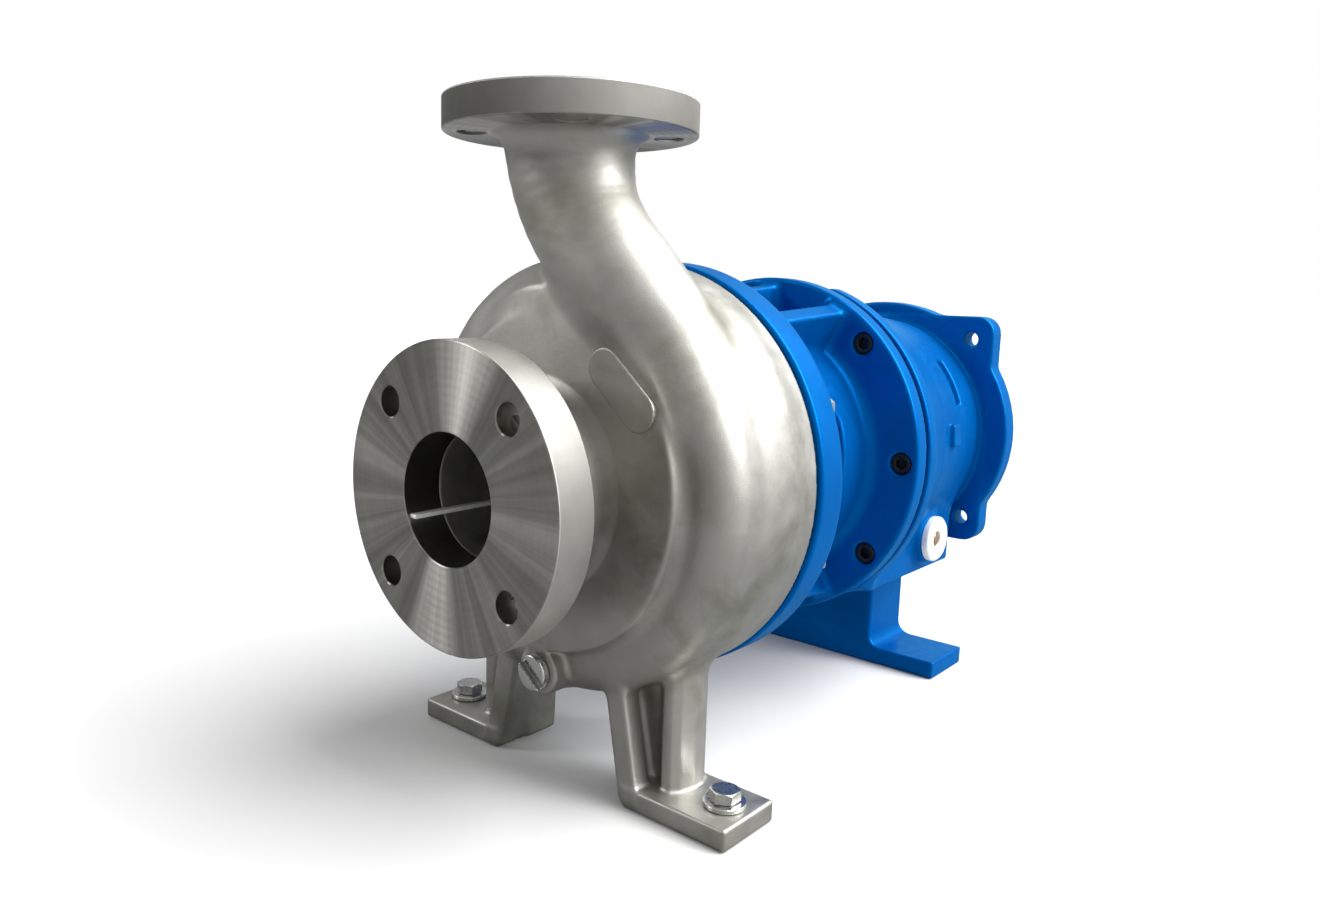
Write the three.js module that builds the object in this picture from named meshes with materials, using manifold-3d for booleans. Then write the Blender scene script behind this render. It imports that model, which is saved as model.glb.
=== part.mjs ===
// A centrifugal water pump: end suction, foot mounted, with a flanged motor end.
// Millimetres. +Z is up, +Y runs along the shaft from the suction flange to the motor end.
// Inside the group, the origin is on the shaft axis at the suction face.
import * as THREE from "three";
import { mergeVertices } from "three/addons/utils/BufferGeometryUtils.js";
import Module from "manifold-3d";

const wasm = await Module();
wasm.setup();

// Driving dimensions
const SHAFT_HEIGHT = 209.55; // shaft axis above the feet
const DISCHARGE_Y = 101.6; // suction face to discharge centre line
const DISCHARGE_TOP = 241.3; // shaft axis to discharge face
const LENGTH = 561; // suction face to motor face
const SUCTION = { radius: 95.25, thickness: 28.5, bore: 40.5, boltCircle: 76.2, hole: 9.5 };
const DISCHARGE = { radius: 81, thickness: 20.25, bore: 28, boltCircle: 62.5, hole: 9.5 };
const CASING = { radius: 145, rear: 181, chamber: 118, nozzle: 54, discFront: 78 };
const WALL = 8; // cast wall of the volute
const GAP = 0.3; // clearance between neighbouring solids
const RING = { radius: 146.5, front: 185, rear: 212, recess: 130.6 };
const COVER = { plug: 117.5, flange: 130, front: 132, rear: 200, sealChamber: 34, throat: 21 };
const DRUM = { outer: 98, inner: 88 };
const ADAPTER_FLANGE = { radius: 139, front: 338, rear: 353.5, boltCircle: 124.5 };
const HOUSING = { radius: 138.5, front: 361, webRear: 506, body: 104, chamber: 96, motorBore: 88 };
const MOTOR_FLANGE = {
  radius: 129, halfHeight: 121, front: 541, pilot: 95, corner: 110, lowerCorner: 100,
};
const SUMP = { halfWidth: 90, bottom: 115, rear: 528 };
const FRONT_FOOT = { outer: 143.4, inner: 61, front: 96.5, rear: 151, thickness: 14.6, holeX: 123.8 };
const REAR_FOOT = { outer: 112.2, leg: 50, pocket: 38, front: 455.5, rear: 517.5, thickness: 14.8 };
const FOOT_BOLT = { shank: 5, hole: 5.5, acrossFlats: 18, head: 7.5, washer: 14, washerThickness: 3 };
const BEARING = { bore: 20, outer: 45.2, width: 23, front: 372, rear: 474, ball: 5.6, pitch: 32.5 };
const OIL = { y: 440, fillTop: 124, drainBottom: 121, boss: 14, hole: 8.8 };
const SHAFT = { nose: 12, sleeved: 16, shoulder: 24, front: 100, rear: 548 };
const SLEEVE = { radius: 20, front: 131, rear: 240 };
const IMPELLER = { radius: 95, front: 90.5, shroudFront: 118, shroudRear: 124, vanes: 5 };
const GLASS = { x: 97, y: 468, z: -85, flange: 20, shank: 13.4, hole: 14 };
const CASING_BOLT = { circle: 137, radius: 4, hole: 4.4, acrossFlats: 13, count: 8, first: 22.5 };
const ADAPTER_SCREW = { radius: 5, hole: 5.4, head: 8, headLength: 9.5, counterbore: 8.6 };
const ADAPTER_SCREW_ANGLES = [46, 0, -37, -74, -106, -143, 180, 134];
const GLAND = { radius: 56, front: 200.3, rear: 211, boltCircle: 46, boltRadius: 4 };
const PAD = { high: [57, 79], low: [84, 55], radius: 12.8, front: 74.2, rear: 90 };
const DRAIN = { z: -127.5, boss: 17, head: 12.5, headFront: 71, face: 78, slot: 7.5, slotAngle: 40 };
const FOOT_SCREW = { x: 20, y: 500, radius: 4, hole: 4.4, length: 23, acrossFlats: 13, head: 6 };
const MOTOR_HOLES = [[89, 89], [-89, 89], [92, -78], [-92, -78]]; // [x, z]
const MOTOR_HOLE_RADIUS = 6.5;
const RIB = { angles: [90, 61, 119, -90, -61, -119], thickness: 15, low: 122, high: 133 };
const WINDOW = { front: 230, rear: 300, halfHeight: 38 };
const SEGMENTS = 20; // sides of a turned part, LARGE on the wide ones
const LARGE = 32;
const PAST = 1; // how far a cutting tool runs past the face it opens

const rad = THREE.MathUtils.degToRad;

// Colours and finishes
function finish(color, roughness, metalness) {
  return () => new THREE.MeshStandardMaterial({ color, roughness, metalness });
}
const castStainless = finish(0xa9a79e, 0.5, 0.9);
const machinedStainless = finish(0xc4c3be, 0.3, 1.0);
const bluePaint = finish(0x0a6fc8, 0.3, 0.1);
const blackRubber = finish(0x111214, 0.75, 0.0);
const zincSteel = finish(0xb9bcbf, 0.35, 1.0);
const blackOxide = finish(0x2a2b2e, 0.5, 0.6);
const bearingSteel = finish(0x9fa3a8, 0.2, 1.0);
const carbon = finish(0x26272a, 0.5, 0.2);
const glass = finish(0xe9edf0, 0.1, 0.0);

// Solids: a closed geometry becomes a manifold, turned right side out if needed
function solid(geometry) {
  geometry.deleteAttribute("normal");
  geometry.deleteAttribute("uv");
  const merged = mergeVertices(geometry, 1e-4);
  const points = merged.attributes.position.array;
  const index = merged.index.array;
  const corners = [];
  let volume = 0;
  for (let i = 0; i < index.length; i += 3) {
    const [a, b, c] = [index[i], index[i + 1], index[i + 2]];
    if (a === b || b === c || c === a) continue;
    corners.push(a, b, c);
    const [pa, pb, pc] = [a, b, c].map((k) => new THREE.Vector3().fromArray(points, 3 * k));
    volume += pa.dot(pb.cross(pc));
  }
  if (volume < 0) corners.reverse();
  const vertProperties = new Float32Array(points);
  const triVerts = new Uint32Array(corners);
  return new wasm.Manifold(new wasm.Mesh({ numProp: 3, vertProperties, triVerts }));
}

// Profile points are [radius, y]; the axis is the shaft's
function lathe(profile, segments = SEGMENTS) {
  const points = profile.map(([r, y]) => new THREE.Vector2(r, y));
  return solid(new THREE.LatheGeometry(points, segments));
}

function ring(inner, outer, front, rear, segments = SEGMENTS) {
  return lathe([[inner, front], [outer, front], [outer, rear], [inner, rear], [inner, front]], segments);
}

function cylinderY(radius, front, rear, x = 0, z = 0, segments = 16) {
  const geometry = new THREE.CylinderGeometry(radius, radius, rear - front, segments);
  return solid(geometry.translate(x, (front + rear) / 2, z));
}

function cylinderZ(radius, bottom, top, x = 0, y = 0, segments = 16) {
  const geometry = new THREE.CylinderGeometry(radius, radius, top - bottom, segments);
  return solid(geometry.rotateX(Math.PI / 2).translate(x, y, (bottom + top) / 2));
}

function cylinderX(radius, left, right, y, z, segments = SEGMENTS) {
  const geometry = new THREE.CylinderGeometry(radius, radius, right - left, segments);
  return solid(geometry.rotateZ(Math.PI / 2).translate((left + right) / 2, y, z));
}

function box(x0, x1, y0, y1, z0, z1) {
  const geometry = new THREE.BoxGeometry(x1 - x0, y1 - y0, z1 - z0);
  return solid(geometry.translate((x0 + x1) / 2, (y0 + y1) / 2, (z0 + z1) / 2));
}

// An outline of [x, z] points extruded along Y, or of [x, y] points extruded along Z
function plateY(outline, front, rear) {
  const shape = new THREE.Shape(outline.map(([x, z]) => new THREE.Vector2(x, z)));
  const geometry = new THREE.ExtrudeGeometry(shape, { depth: rear - front, bevelEnabled: false });
  return solid(geometry.rotateX(Math.PI / 2).translate(0, rear, 0));
}

function plateZ(outline, bottom, top) {
  const shape = new THREE.Shape(outline.map(([x, y]) => new THREE.Vector2(x, y)));
  const geometry = new THREE.ExtrudeGeometry(shape, { depth: top - bottom, bevelEnabled: false });
  return solid(geometry.translate(0, 0, bottom));
}

// A cylinder bent along a curve, with its radius changing from end to end
function bentTube(curve, radiusAt, sides = 12, steps = 9) {
  const geometry = new THREE.CylinderGeometry(1, 1, 1, sides, steps);
  const frames = curve.computeFrenetFrames(steps, false);
  const position = geometry.attributes.position;
  for (let i = 0; i < position.count; i += 1) {
    const step = Math.round((position.getY(i) + 0.5) * steps);
    const radius = radiusAt(step / steps);
    const point = curve.getPointAt(step / steps);
    point.addScaledVector(frames.normals[step], radius * position.getX(i));
    point.addScaledVector(frames.binormals[step], radius * position.getZ(i));
    position.setXYZ(i, point.x, point.y, point.z);
  }
  return solid(geometry);
}

function joined(parts) {
  return parts.reduce((whole, part) => whole.add(part));
}

function cut(body, tools) {
  return body.subtract(joined(tools));
}

// Points around the shaft axis: [x, z] at each angle, counted from +X towards +Z
function around(radius, degrees) {
  return [radius * Math.cos(rad(degrees)), radius * Math.sin(rad(degrees))];
}

function evenAngles(count, first = 0) {
  return Array.from({ length: count }, (_, i) => first + (360 * i) / count);
}

// Round holes along the shaft's direction, one at each angle of a bolt circle
function holesAt(angles, circle, radius, front, rear, sides = 8) {
  return angles.map((angle) => cylinderY(radius, front, rear, ...around(circle, angle), sides));
}

const FLANGE_ANGLES = evenAngles(4, 45);
const CASING_BOLT_ANGLES = evenAngles(CASING_BOLT.count, CASING_BOLT.first);
const GLAND_ANGLES = evenAngles(4, 45);

const pump = new THREE.Group();
pump.position.set(0, -LENGTH / 2, SHAFT_HEIGHT);

function addMesh(name, body, material) {
  const { numProp, vertProperties, triVerts } = body.getMesh();
  const geometry = new THREE.BufferGeometry();
  const points = new Float32Array((vertProperties.length / numProp) * 3);
  for (let i = 0; i < points.length / 3; i += 1) {
    points.set(vertProperties.subarray(i * numProp, i * numProp + 3), 3 * i);
  }
  geometry.setAttribute("position", new THREE.BufferAttribute(points, 3));
  geometry.setIndex(new THREE.BufferAttribute(new Uint32Array(triVerts), 1));
  geometry.computeVertexNormals();
  const mesh = new THREE.Mesh(geometry, material());
  mesh.name = name;
  pump.add(mesh);
  return mesh;
}

// Volute casing: drum, spiral, discharge neck, both flanges and the two front feet in one casting
// Neck stations from the volute up to the discharge flange: x, y, z and outside radius
const NECK = [
  [100, 124, 14, 37], [89, 118, 70, 34.5], [54, 107, 119, 36], [25, 102.6, 152, 36.5],
  [8, 101.6, 178, 38], [0, 101.6, 208, 41], [0, 101.6, 230, 42],
];
const BORE_RIB = { root: -39, tip: -32.5, first: 3, last: 70, low: -17.5, high: -14.8 };
const SPIRAL = { first: -200, last: 20, startRadius: 14, endRadius: 38, reach: 141.5 };

function spiralCurve() {
  const points = [];
  for (let angle = SPIRAL.first; angle <= SPIRAL.last; angle += 20) {
    const share = (angle - SPIRAL.first) / (SPIRAL.last - SPIRAL.first);
    const [x, z] = around(SPIRAL.reach - spiralRadius(share), angle);
    points.push(new THREE.Vector3(x, 128 - 6 * share, z));
  }
  return new THREE.CatmullRomCurve3(points, false, "centripetal");
}

function spiralRadius(share) {
  return SPIRAL.startRadius + (SPIRAL.endRadius - SPIRAL.startRadius) * share;
}

function neckCurve() {
  const points = NECK.map(([x, y, z]) => new THREE.Vector3(x, y, z));
  return new THREE.CatmullRomCurve3(points, false, "centripetal");
}

// The neck's outside radius at a share of its length, between its stations
function neckRadius(share) {
  const points = NECK.map(([x, y, z]) => new THREE.Vector3(x, y, z));
  const spans = points.slice(1).map((point, i) => point.distanceTo(points[i]));
  let left = share * spans.reduce((sum, span) => sum + span, 0);
  let i = 0;
  while (i < spans.length - 1 && left > spans[i]) {
    left -= spans[i];
    i += 1;
  }
  return THREE.MathUtils.lerp(NECK[i][3], NECK[i + 1][3], left / spans[i]);
}

function shoulder() {
  const points = [];
  for (let angle = 75; angle >= 0; angle -= 25) {
    points.push([118 + 27 * Math.cos(rad(angle)), 107 - 28 * Math.sin(rad(angle))]);
  }
  return points;
}

function frontFoot(side) {
  const base = -SHAFT_HEIGHT;
  const { outer, inner, front, rear, thickness, holeX } = FRONT_FOOT;
  const legTop = { z: base + 100, x: inner - 22 };
  const leg = [[inner, base], [inner + 15, base], [legTop.x + 15, legTop.z], [legTop.x, legTop.z]];
  const column = [
    [56, rear], [84, rear], [92, 146], [96, 136], [97, 127], [94, 116],
    [89, 110], [83, 110], [78, 116], [72, 122], [56, 122],
  ];
  const flip = (outline) => outline.map(([a, b]) => [side * a, b]);
  const foot = joined([
    plateY(flip(leg), front, rear),
    plateZ(flip(column), base + 5, base + 132),
    box(...[side * inner, side * outer].sort((a, b) => a - b), front, rear, base, base + thickness),
  ]);
  return cut(foot, [cylinderZ(FOOT_BOLT.hole, base - 5, base + 30, side * holeX, (front + rear) / 2)]);
}

// Raised oblong pad with round ends, an outline of [x, z] points
function padOutline() {
  const [[x0, z0], [x1, z1]] = [PAD.high, PAD.low];
  const side = THREE.MathUtils.radToDeg(Math.atan2(z1 - z0, x1 - x0));
  const end = (x, z, first) => [0, 30, 60, 90, 120, 150, 180].map((step) => {
    const [dx, dz] = around(PAD.radius, first + step);
    return [x + dx, z + dz];
  });
  return [...end(x1, z1, side - 90), ...end(x0, z0, side + 90)];
}

function voluteCasing() {
  const { radius, thickness, bore, boltCircle, hole } = SUCTION;
  const outside = lathe([
    [0, 0], [radius, 0], [radius, thickness],
    [CASING.nozzle, thickness], [CASING.nozzle, 60], [68, 73], [112, CASING.discFront],
    ...shoulder(), [CASING.radius, CASING.rear], [0, CASING.rear],
  ], LARGE);
  const bottom = DISCHARGE_TOP - DISCHARGE.thickness;
  const body = joined([
    outside, bentTube(spiralCurve(), spiralRadius), bentTube(neckCurve(), neckRadius),
    plateY(padOutline(), PAD.front, PAD.rear),
    cylinderY(DRAIN.boss, DRAIN.face, DRAIN.face + 26, 0, DRAIN.z),
    cylinderZ(46, bottom - 14, bottom + 5, 0, DISCHARGE_Y, 24),
    cylinderZ(DISCHARGE.radius, bottom, DISCHARGE_TOP, 0, DISCHARGE_Y, LARGE),
    frontFoot(-1), frontFoot(1),
  ]);
  const waterway = lathe([
    [0, -PAST], [bore, -PAST], [bore, 56], [38, 86.5], [104, 88.5], [CASING.chamber, 104],
    [CASING.chamber, CASING.rear + PAST], [0, CASING.rear + PAST],
  ]);
  const hollow = cut(body, [
    waterway,
    bentTube(spiralCurve(), (share) => spiralRadius(share) - WALL),
    bentTube(neckCurve(), (share) => neckRadius(share) - WALL - 2),
    cylinderZ(DISCHARGE.bore, bottom - 30, DISCHARGE_TOP + PAST, 0, DISCHARGE_Y, 24),
    ...holesAt(FLANGE_ANGLES, boltCircle, hole, -PAST, thickness + PAST, 12),
    ...FLANGE_ANGLES.map((angle) => {
      const [x, y] = around(DISCHARGE.boltCircle, angle);
      return cylinderZ(DISCHARGE.hole, bottom - PAST, DISCHARGE_TOP + PAST, x, DISCHARGE_Y + y, 12);
    }),
    ...holesAt(CASING_BOLT_ANGLES, CASING_BOLT.circle, CASING_BOLT.hole, 160, CASING.rear + PAST),
    cylinderY(8.8, DRAIN.face - 4, DRAIN.face + 18, 0, DRAIN.z),
    cylinderY(5, DRAIN.face + 16, DRAIN.face + 38, 0, DRAIN.z, 12),
  ]);
  const { root, tip, first, last, low, high } = BORE_RIB;
  return hollow.add(box(root, tip, first, last, low, high));
}
addMesh("volute_casing", voluteCasing(), castStainless);

// Drain plug with a wide slot
function casingDrainPlug() {
  const { z, head, headFront, face, slot, slotAngle } = DRAIN;
  const body = joined([
    cylinderY(head, headFront, face - GAP, 0, z),
    cylinderY(8, face - 0.5, face + 15, 0, z),
  ]);
  const slotTool = new THREE.BoxGeometry(2.4 * head, 8, slot).rotateY(rad(slotAngle));
  return body.subtract(solid(slotTool.translate(0, headFront, z)));
}
addMesh("casing_drain_plug", casingDrainPlug(), zincSteel);

// Casing gasket and cover, with the seal chamber in the cover
addMesh("casing_gasket", ring(119, 129.5, CASING.rear + GAP, 182.7), blackRubber);

function casingCover() {
  const { plug, flange, front, rear, sealChamber, throat } = COVER;
  const body = lathe([
    [throat, front], [60, front], [110, 145], [plug, 153], [plug, 183], [flange, 183],
    [flange, 191.7], [66, 191.7], [60, rear], [sealChamber, rear], [sealChamber, 145],
    [throat, 145], [throat, front],
  ]);
  return cut(body, holesAt(GLAND_ANGLES, GLAND.boltCircle, GLAND.boltRadius + GAP, 180, rear + PAST));
}
addMesh("casing_cover", casingCover(), castStainless);

// Frame adapter: clamp ring, drum with ribs and two windows, rear flange
function frameAdapter() {
  const { outer, inner } = DRUM;
  const { radius, front, rear } = ADAPTER_FLANGE;
  const body = lathe([
    [inner, 192], [RING.recess, 192], [RING.recess, RING.front], [RING.radius, RING.front],
    [RING.radius, RING.rear], [outer + 8, RING.rear], [outer, RING.rear + 8], [outer, front - 8],
    [outer + 8, front], [radius, front], [radius, rear], [inner, rear], [inner, 192],
  ], LARGE);
  const ribSide = [
    [outer - 4, RING.rear - 2], [RIB.low, RING.rear - 2], [RIB.high, front + 2], [outer - 4, front + 2],
  ];
  const ribs = RIB.angles.map((angle) =>
    plateZ(ribSide, -RIB.thickness / 2, RIB.thickness / 2).rotate([0, -angle, 0]));
  const { boltCircle } = ADAPTER_FLANGE;
  const { hole, counterbore } = ADAPTER_SCREW;
  const { front: near, rear: far, halfHeight } = WINDOW;
  return cut(joined([body, ...ribs]), [
    ...holesAt(ADAPTER_SCREW_ANGLES, boltCircle, hole, front - PAST, rear + PAST),
    ...holesAt(ADAPTER_SCREW_ANGLES, boltCircle, counterbore, front - PAST, front + 10, 12),
    ...holesAt(CASING_BOLT_ANGLES, CASING_BOLT.circle, CASING_BOLT.hole, RING.front - PAST, RING.rear + PAST),
    box(60, 120, near, far, -halfHeight, halfHeight),
    box(-120, -60, near, far, -halfHeight, halfHeight),
  ]);
}
addMesh("frame_adapter", frameAdapter(), bluePaint);

// A hexagon-headed bolt along +Y: the head's underside is at the origin and the shank runs to -Y
function hexBolt(radius, length, acrossFlats, headLength) {
  const corner = acrossFlats / Math.sqrt(3);
  const head = new THREE.CylinderGeometry(corner, corner, headLength, 6);
  return joined([
    solid(head.translate(0, headLength / 2, 0)),
    cylinderY(radius, -length, 1, 0, 0, 8),
  ]);
}

// A socket-headed screw along -Y: the head's front is at the origin and the shank runs to +Y
function socketScrew(radius, length, headRadius, headLength) {
  const socket = new THREE.CylinderGeometry(headRadius * 0.55, headRadius * 0.55, headLength, 6);
  return joined([
    cylinderY(headRadius, 0, headLength, 0, 0, 12),
    cylinderY(radius, headLength - 1, headLength + length, 0, 0, 8),
  ]).subtract(solid(socket));
}

CASING_BOLT_ANGLES.forEach((angle, i) => {
  const { radius, acrossFlats, circle } = CASING_BOLT;
  const bolt = addMesh(`casing_bolt_${i + 1}`, hexBolt(radius, 48, acrossFlats, 6), zincSteel);
  const [x, z] = around(circle, angle);
  bolt.position.set(x, RING.rear + GAP, z);
});

ADAPTER_SCREW_ANGLES.forEach((angle, i) => {
  const { radius, head, headLength } = ADAPTER_SCREW;
  const screw = addMesh(`adapter_screw_${i + 1}`, socketScrew(radius, 22, head, headLength), blackOxide);
  const [x, z] = around(ADAPTER_FLANGE.boltCircle, angle);
  screw.position.set(x, ADAPTER_FLANGE.front + GAP, z);
});

// Joint ring between the adapter flange and the bearing housing
function jointRing() {
  const { boltCircle, rear } = ADAPTER_FLANGE;
  const body = ring(96, 134.5, rear + GAP, HOUSING.front - GAP, LARGE);
  return cut(body, holesAt(ADAPTER_SCREW_ANGLES, boltCircle, ADAPTER_SCREW.hole, rear, HOUSING.front));
}
addMesh("joint_ring", jointRing(), blackRubber);

// Bearing housing: conical body, oil sump, motor flange with four corner lugs
function bearingHousing() {
  const { radius, front, webRear, body, chamber, motorBore } = HOUSING;
  const flange = MOTOR_FLANGE;
  const outside = lathe([
    [0, 350], [DRUM.inner - 0.4, 350], [DRUM.inner - 0.4, front], [radius, front],
    [radius, 374], [129, 380], [116, 440], [110, 487], [body, flange.front], [body, LENGTH],
    [0, LENGTH],
  ], LARGE);
  const rim = plateY(Array.from({ length: LARGE }, (_, i) => {
    const [x, z] = around(1, i * 360 / LARGE);
    return [flange.radius * x, flange.halfHeight * z];
  }), flange.front, LENGTH);
  const c = flange.corner;
  const low = flange.lowerCorner;
  const trim = 14;
  const lugs = plateY([
    [-c + trim, c], [c - trim, c], [c, c - trim], [c, -low + trim], [c - trim, -low],
    [-c + trim, -low], [-c, -low + trim], [-c, c - trim],
  ], flange.front, LENGTH);
  const { halfWidth, bottom, rear } = SUMP;
  const sump = plateY([
    [-halfWidth, -bottom + 8], [-halfWidth + 8, -bottom], [halfWidth - 8, -bottom],
    [halfWidth, -bottom + 8], [halfWidth, -30], [-halfWidth, -30],
  ], 370, rear);
  const glassBoss = cylinderX(GLASS.flange + 2, 82, GLASS.x, GLASS.y, GLASS.z);
  const bosses = [
    cylinderZ(OIL.boss, 90, OIL.fillTop, 0, OIL.y),
    cylinderZ(OIL.boss, -OIL.drainBottom, -90, 0, OIL.y),
  ];
  return cut(joined([outside, rim, lugs, sump, glassBoss, ...bosses]), [
    lathe([
      [0, 349], [78, 349], [78, 360], [BEARING.outer, 360], [BEARING.outer, 395], [chamber, 395],
      [chamber, 466], [BEARING.outer, 470], [BEARING.outer, 503], [47.4, 503], [47.4, 505.3],
      [BEARING.outer, 505.3], [BEARING.outer, webRear], [motorBore, webRear], [motorBore, 555],
      [flange.pilot, 555], [flange.pilot, LENGTH + 1], [0, LENGTH + 1],
    ]),
    box(-80, 80, 395, 492, -101, -60),
    cylinderX(GLASS.hole, 70, GLASS.x + PAST, GLASS.y, GLASS.z),
    cylinderZ(OIL.hole, 85, OIL.fillTop + PAST, 0, OIL.y),
    cylinderZ(OIL.hole, -OIL.drainBottom - PAST, -90, 0, OIL.y),
    ...footScrewHoles(-bottom - PAST, -bottom + 14),
    ...holesAt(ADAPTER_SCREW_ANGLES, ADAPTER_FLANGE.boltCircle, ADAPTER_SCREW.hole, front - PAST, front + 12),
    ...MOTOR_HOLES.map(([x, z]) =>
      cylinderY(MOTOR_HOLE_RADIUS, flange.front - PAST, LENGTH + PAST, x, z, 12)),
  ]);
}

function footScrewHoles(low, high) {
  const { x, y, hole } = FOOT_SCREW;
  return [-x, x].map((side) => cylinderZ(hole, low, high, side, y, 12));
}
addMesh("bearing_housing", bearingHousing(), bluePaint);

// Oil fittings: filler plug, drain plug and bull's-eye sight glass
const fill = addMesh("oil_fill_plug", hexBolt(8, 18, 19, 6), zincSteel);
fill.rotation.x = Math.PI / 2;
fill.position.set(0, OIL.y, OIL.fillTop + GAP);
const drain = addMesh("oil_drain_plug", hexBolt(8, 16, 19, 7), zincSteel);
drain.rotation.x = -Math.PI / 2;
drain.position.set(0, OIL.y, -OIL.drainBottom - GAP);

const glassBody = addMesh("sight_glass_body", lathe([
  [10.5, -12], [GLASS.shank, -12], [GLASS.shank, 0], [GLASS.flange, 0], [GLASS.flange, 5],
  [18, 7], [13.5, 7], [13.5, 2], [10.5, 2], [10.5, -12],
]), zincSteel);
const glassLens = addMesh("sight_glass_lens", cylinderY(13.2, 2.3, 6, 0, 0, SEGMENTS), glass);
for (const piece of [glassBody, glassLens]) {
  piece.rotation.z = -Math.PI / 2;
  piece.position.set(GLASS.x + GAP, GLASS.y, GLASS.z);
}

// Support foot under the bearing housing, open at the back, with two screws inside its pocket
function supportFoot() {
  const base = -SHAFT_HEIGHT;
  const { outer, leg, pocket, front, rear, thickness } = REAR_FOOT;
  const top = -SUMP.bottom - GAP;
  const body = joined([
    box(-outer, outer, front, rear, base, base + thickness),
    box(-leg, leg, front, rear, base + 5, top),
    plateY([[-leg - 12, base + 14], [leg + 12, base + 14], [leg, base + 26], [-leg, base + 26]], front, rear),
  ]);
  return cut(body, [
    box(-pocket, pocket, front + 13, rear + PAST, base + 16, top - 12),
    ...footScrewHoles(top - 14, top + PAST),
  ]);
}
addMesh("support_foot", supportFoot(), bluePaint);
for (const [side, sign] of [["left", -1], ["right", 1]]) {
  const { x, y, radius, length, acrossFlats, head } = FOOT_SCREW;
  const screw = addMesh(`foot_screw_${side}`, hexBolt(radius, length, acrossFlats, head), zincSteel);
  screw.rotation.x = -Math.PI / 2;
  screw.position.set(sign * x, y, -SUMP.bottom - 12 - 2 * GAP);
}

// Front foot bolts and washers
for (const [side, sign] of [["left", -1], ["right", 1]]) {
  const { shank, acrossFlats, head, hole, washer, washerThickness } = FOOT_BOLT;
  const y = (FRONT_FOOT.front + FRONT_FOOT.rear) / 2;
  const top = -SHAFT_HEIGHT + FRONT_FOOT.thickness;
  const washerMesh = addMesh(`foot_washer_${side}`, ring(hole, washer, 0, washerThickness), zincSteel);
  washerMesh.rotation.x = Math.PI / 2;
  washerMesh.position.set(sign * FRONT_FOOT.holeX, y, top + GAP);
  const bolt = addMesh(`foot_bolt_${side}`, hexBolt(shank, 18, acrossFlats, head), zincSteel);
  bolt.rotation.x = Math.PI / 2;
  bolt.position.set(sign * FRONT_FOOT.holeX, y, top + washerThickness + 2 * GAP);
}

// Rolling bearings
function bearing(place, front) {
  const rear = front + BEARING.width;
  addMesh(`${place}_outer_race`, ring(39, BEARING.outer - GAP, front + GAP, rear - GAP), bearingSteel);
  addMesh(`${place}_inner_race`, ring(BEARING.bore + GAP, 26, front + GAP, rear - GAP), bearingSteel);
  const middle = (front + rear) / 2;
  const balls = evenAngles(8).map((angle) => {
    const [x, z] = around(BEARING.pitch, angle);
    return solid(new THREE.SphereGeometry(BEARING.ball, 6, 4).translate(x, middle, z));
  });
  addMesh(`${place}_ball_set`, joined([ring(31, 34, middle - 2.5, middle + 2.5), ...balls]), bearingSteel);
}
bearing("front", BEARING.front);
bearing("rear", BEARING.rear);
addMesh("front_bearing_cover", ring(31, BEARING.outer - GAP, 356, 371.7), machinedStainless);
addMesh("front_lip_seal", ring(BEARING.bore + GAP, 30.7, 358, 368), blackRubber);
addMesh("rear_bearing_cover", ring(28, BEARING.outer - GAP, 497.3, 502.7), machinedStainless);
addMesh("rear_lip_seal", ring(SHAFT.sleeved + GAP, 27.7, 497.6, 503), blackRubber);
addMesh("retaining_ring", ring(42, 47, 503.3, 505), bearingSteel);

// Mechanical seal: collar, spring and rotating ring on the sleeve, seat in the gland
const sleeve = ring(SHAFT.sleeved + GAP, SLEEVE.radius, SLEEVE.front, SLEEVE.rear);
addMesh("shaft_sleeve", sleeve, machinedStainless);
addMesh("seal_collar", ring(SLEEVE.radius + GAP, 29, 148, 160), machinedStainless);

class Helix extends THREE.Curve {
  constructor(radius, pitch, turns) {
    super();
    Object.assign(this, { radius, pitch, turns });
  }

  getPoint(t, target = new THREE.Vector3()) {
    const turn = this.turns * t;
    const angle = 2 * Math.PI * turn;
    return target.set(this.radius * Math.cos(angle), this.pitch * turn, this.radius * Math.sin(angle));
  }
}
const spring = bentTube(new Helix(25, 4, 3.5), () => 1.3, 5, 35);
addMesh("seal_spring", spring.translate([0, 161.8, 0]), bearingSteel);
addMesh("seal_ring", ring(SLEEVE.radius + GAP, 28, 177.6, 190), carbon);
addMesh("seal_seat", ring(21.5, 30, 190.3, 203.7), machinedStainless);

function glandPlate() {
  const { radius, front, rear } = GLAND;
  const body = lathe([
    [22, 204], [30.3, 204], [30.3, 194], [33.7, 194], [33.7, front], [radius, front],
    [radius, rear], [22, rear], [22, 204],
  ]);
  const { boltCircle, boltRadius } = GLAND;
  return cut(body, holesAt(GLAND_ANGLES, boltCircle, boltRadius + GAP, front - 5, rear + PAST));
}
addMesh("gland_plate", glandPlate(), machinedStainless);
GLAND_ANGLES.forEach((angle, i) => {
  const bolt = addMesh(`gland_bolt_${i + 1}`, hexBolt(GLAND.boltRadius, 28, 13, 6), zincSteel);
  const [x, z] = around(GLAND.boltCircle, angle);
  bolt.position.set(x, GLAND.rear + GAP, z);
});

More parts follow.
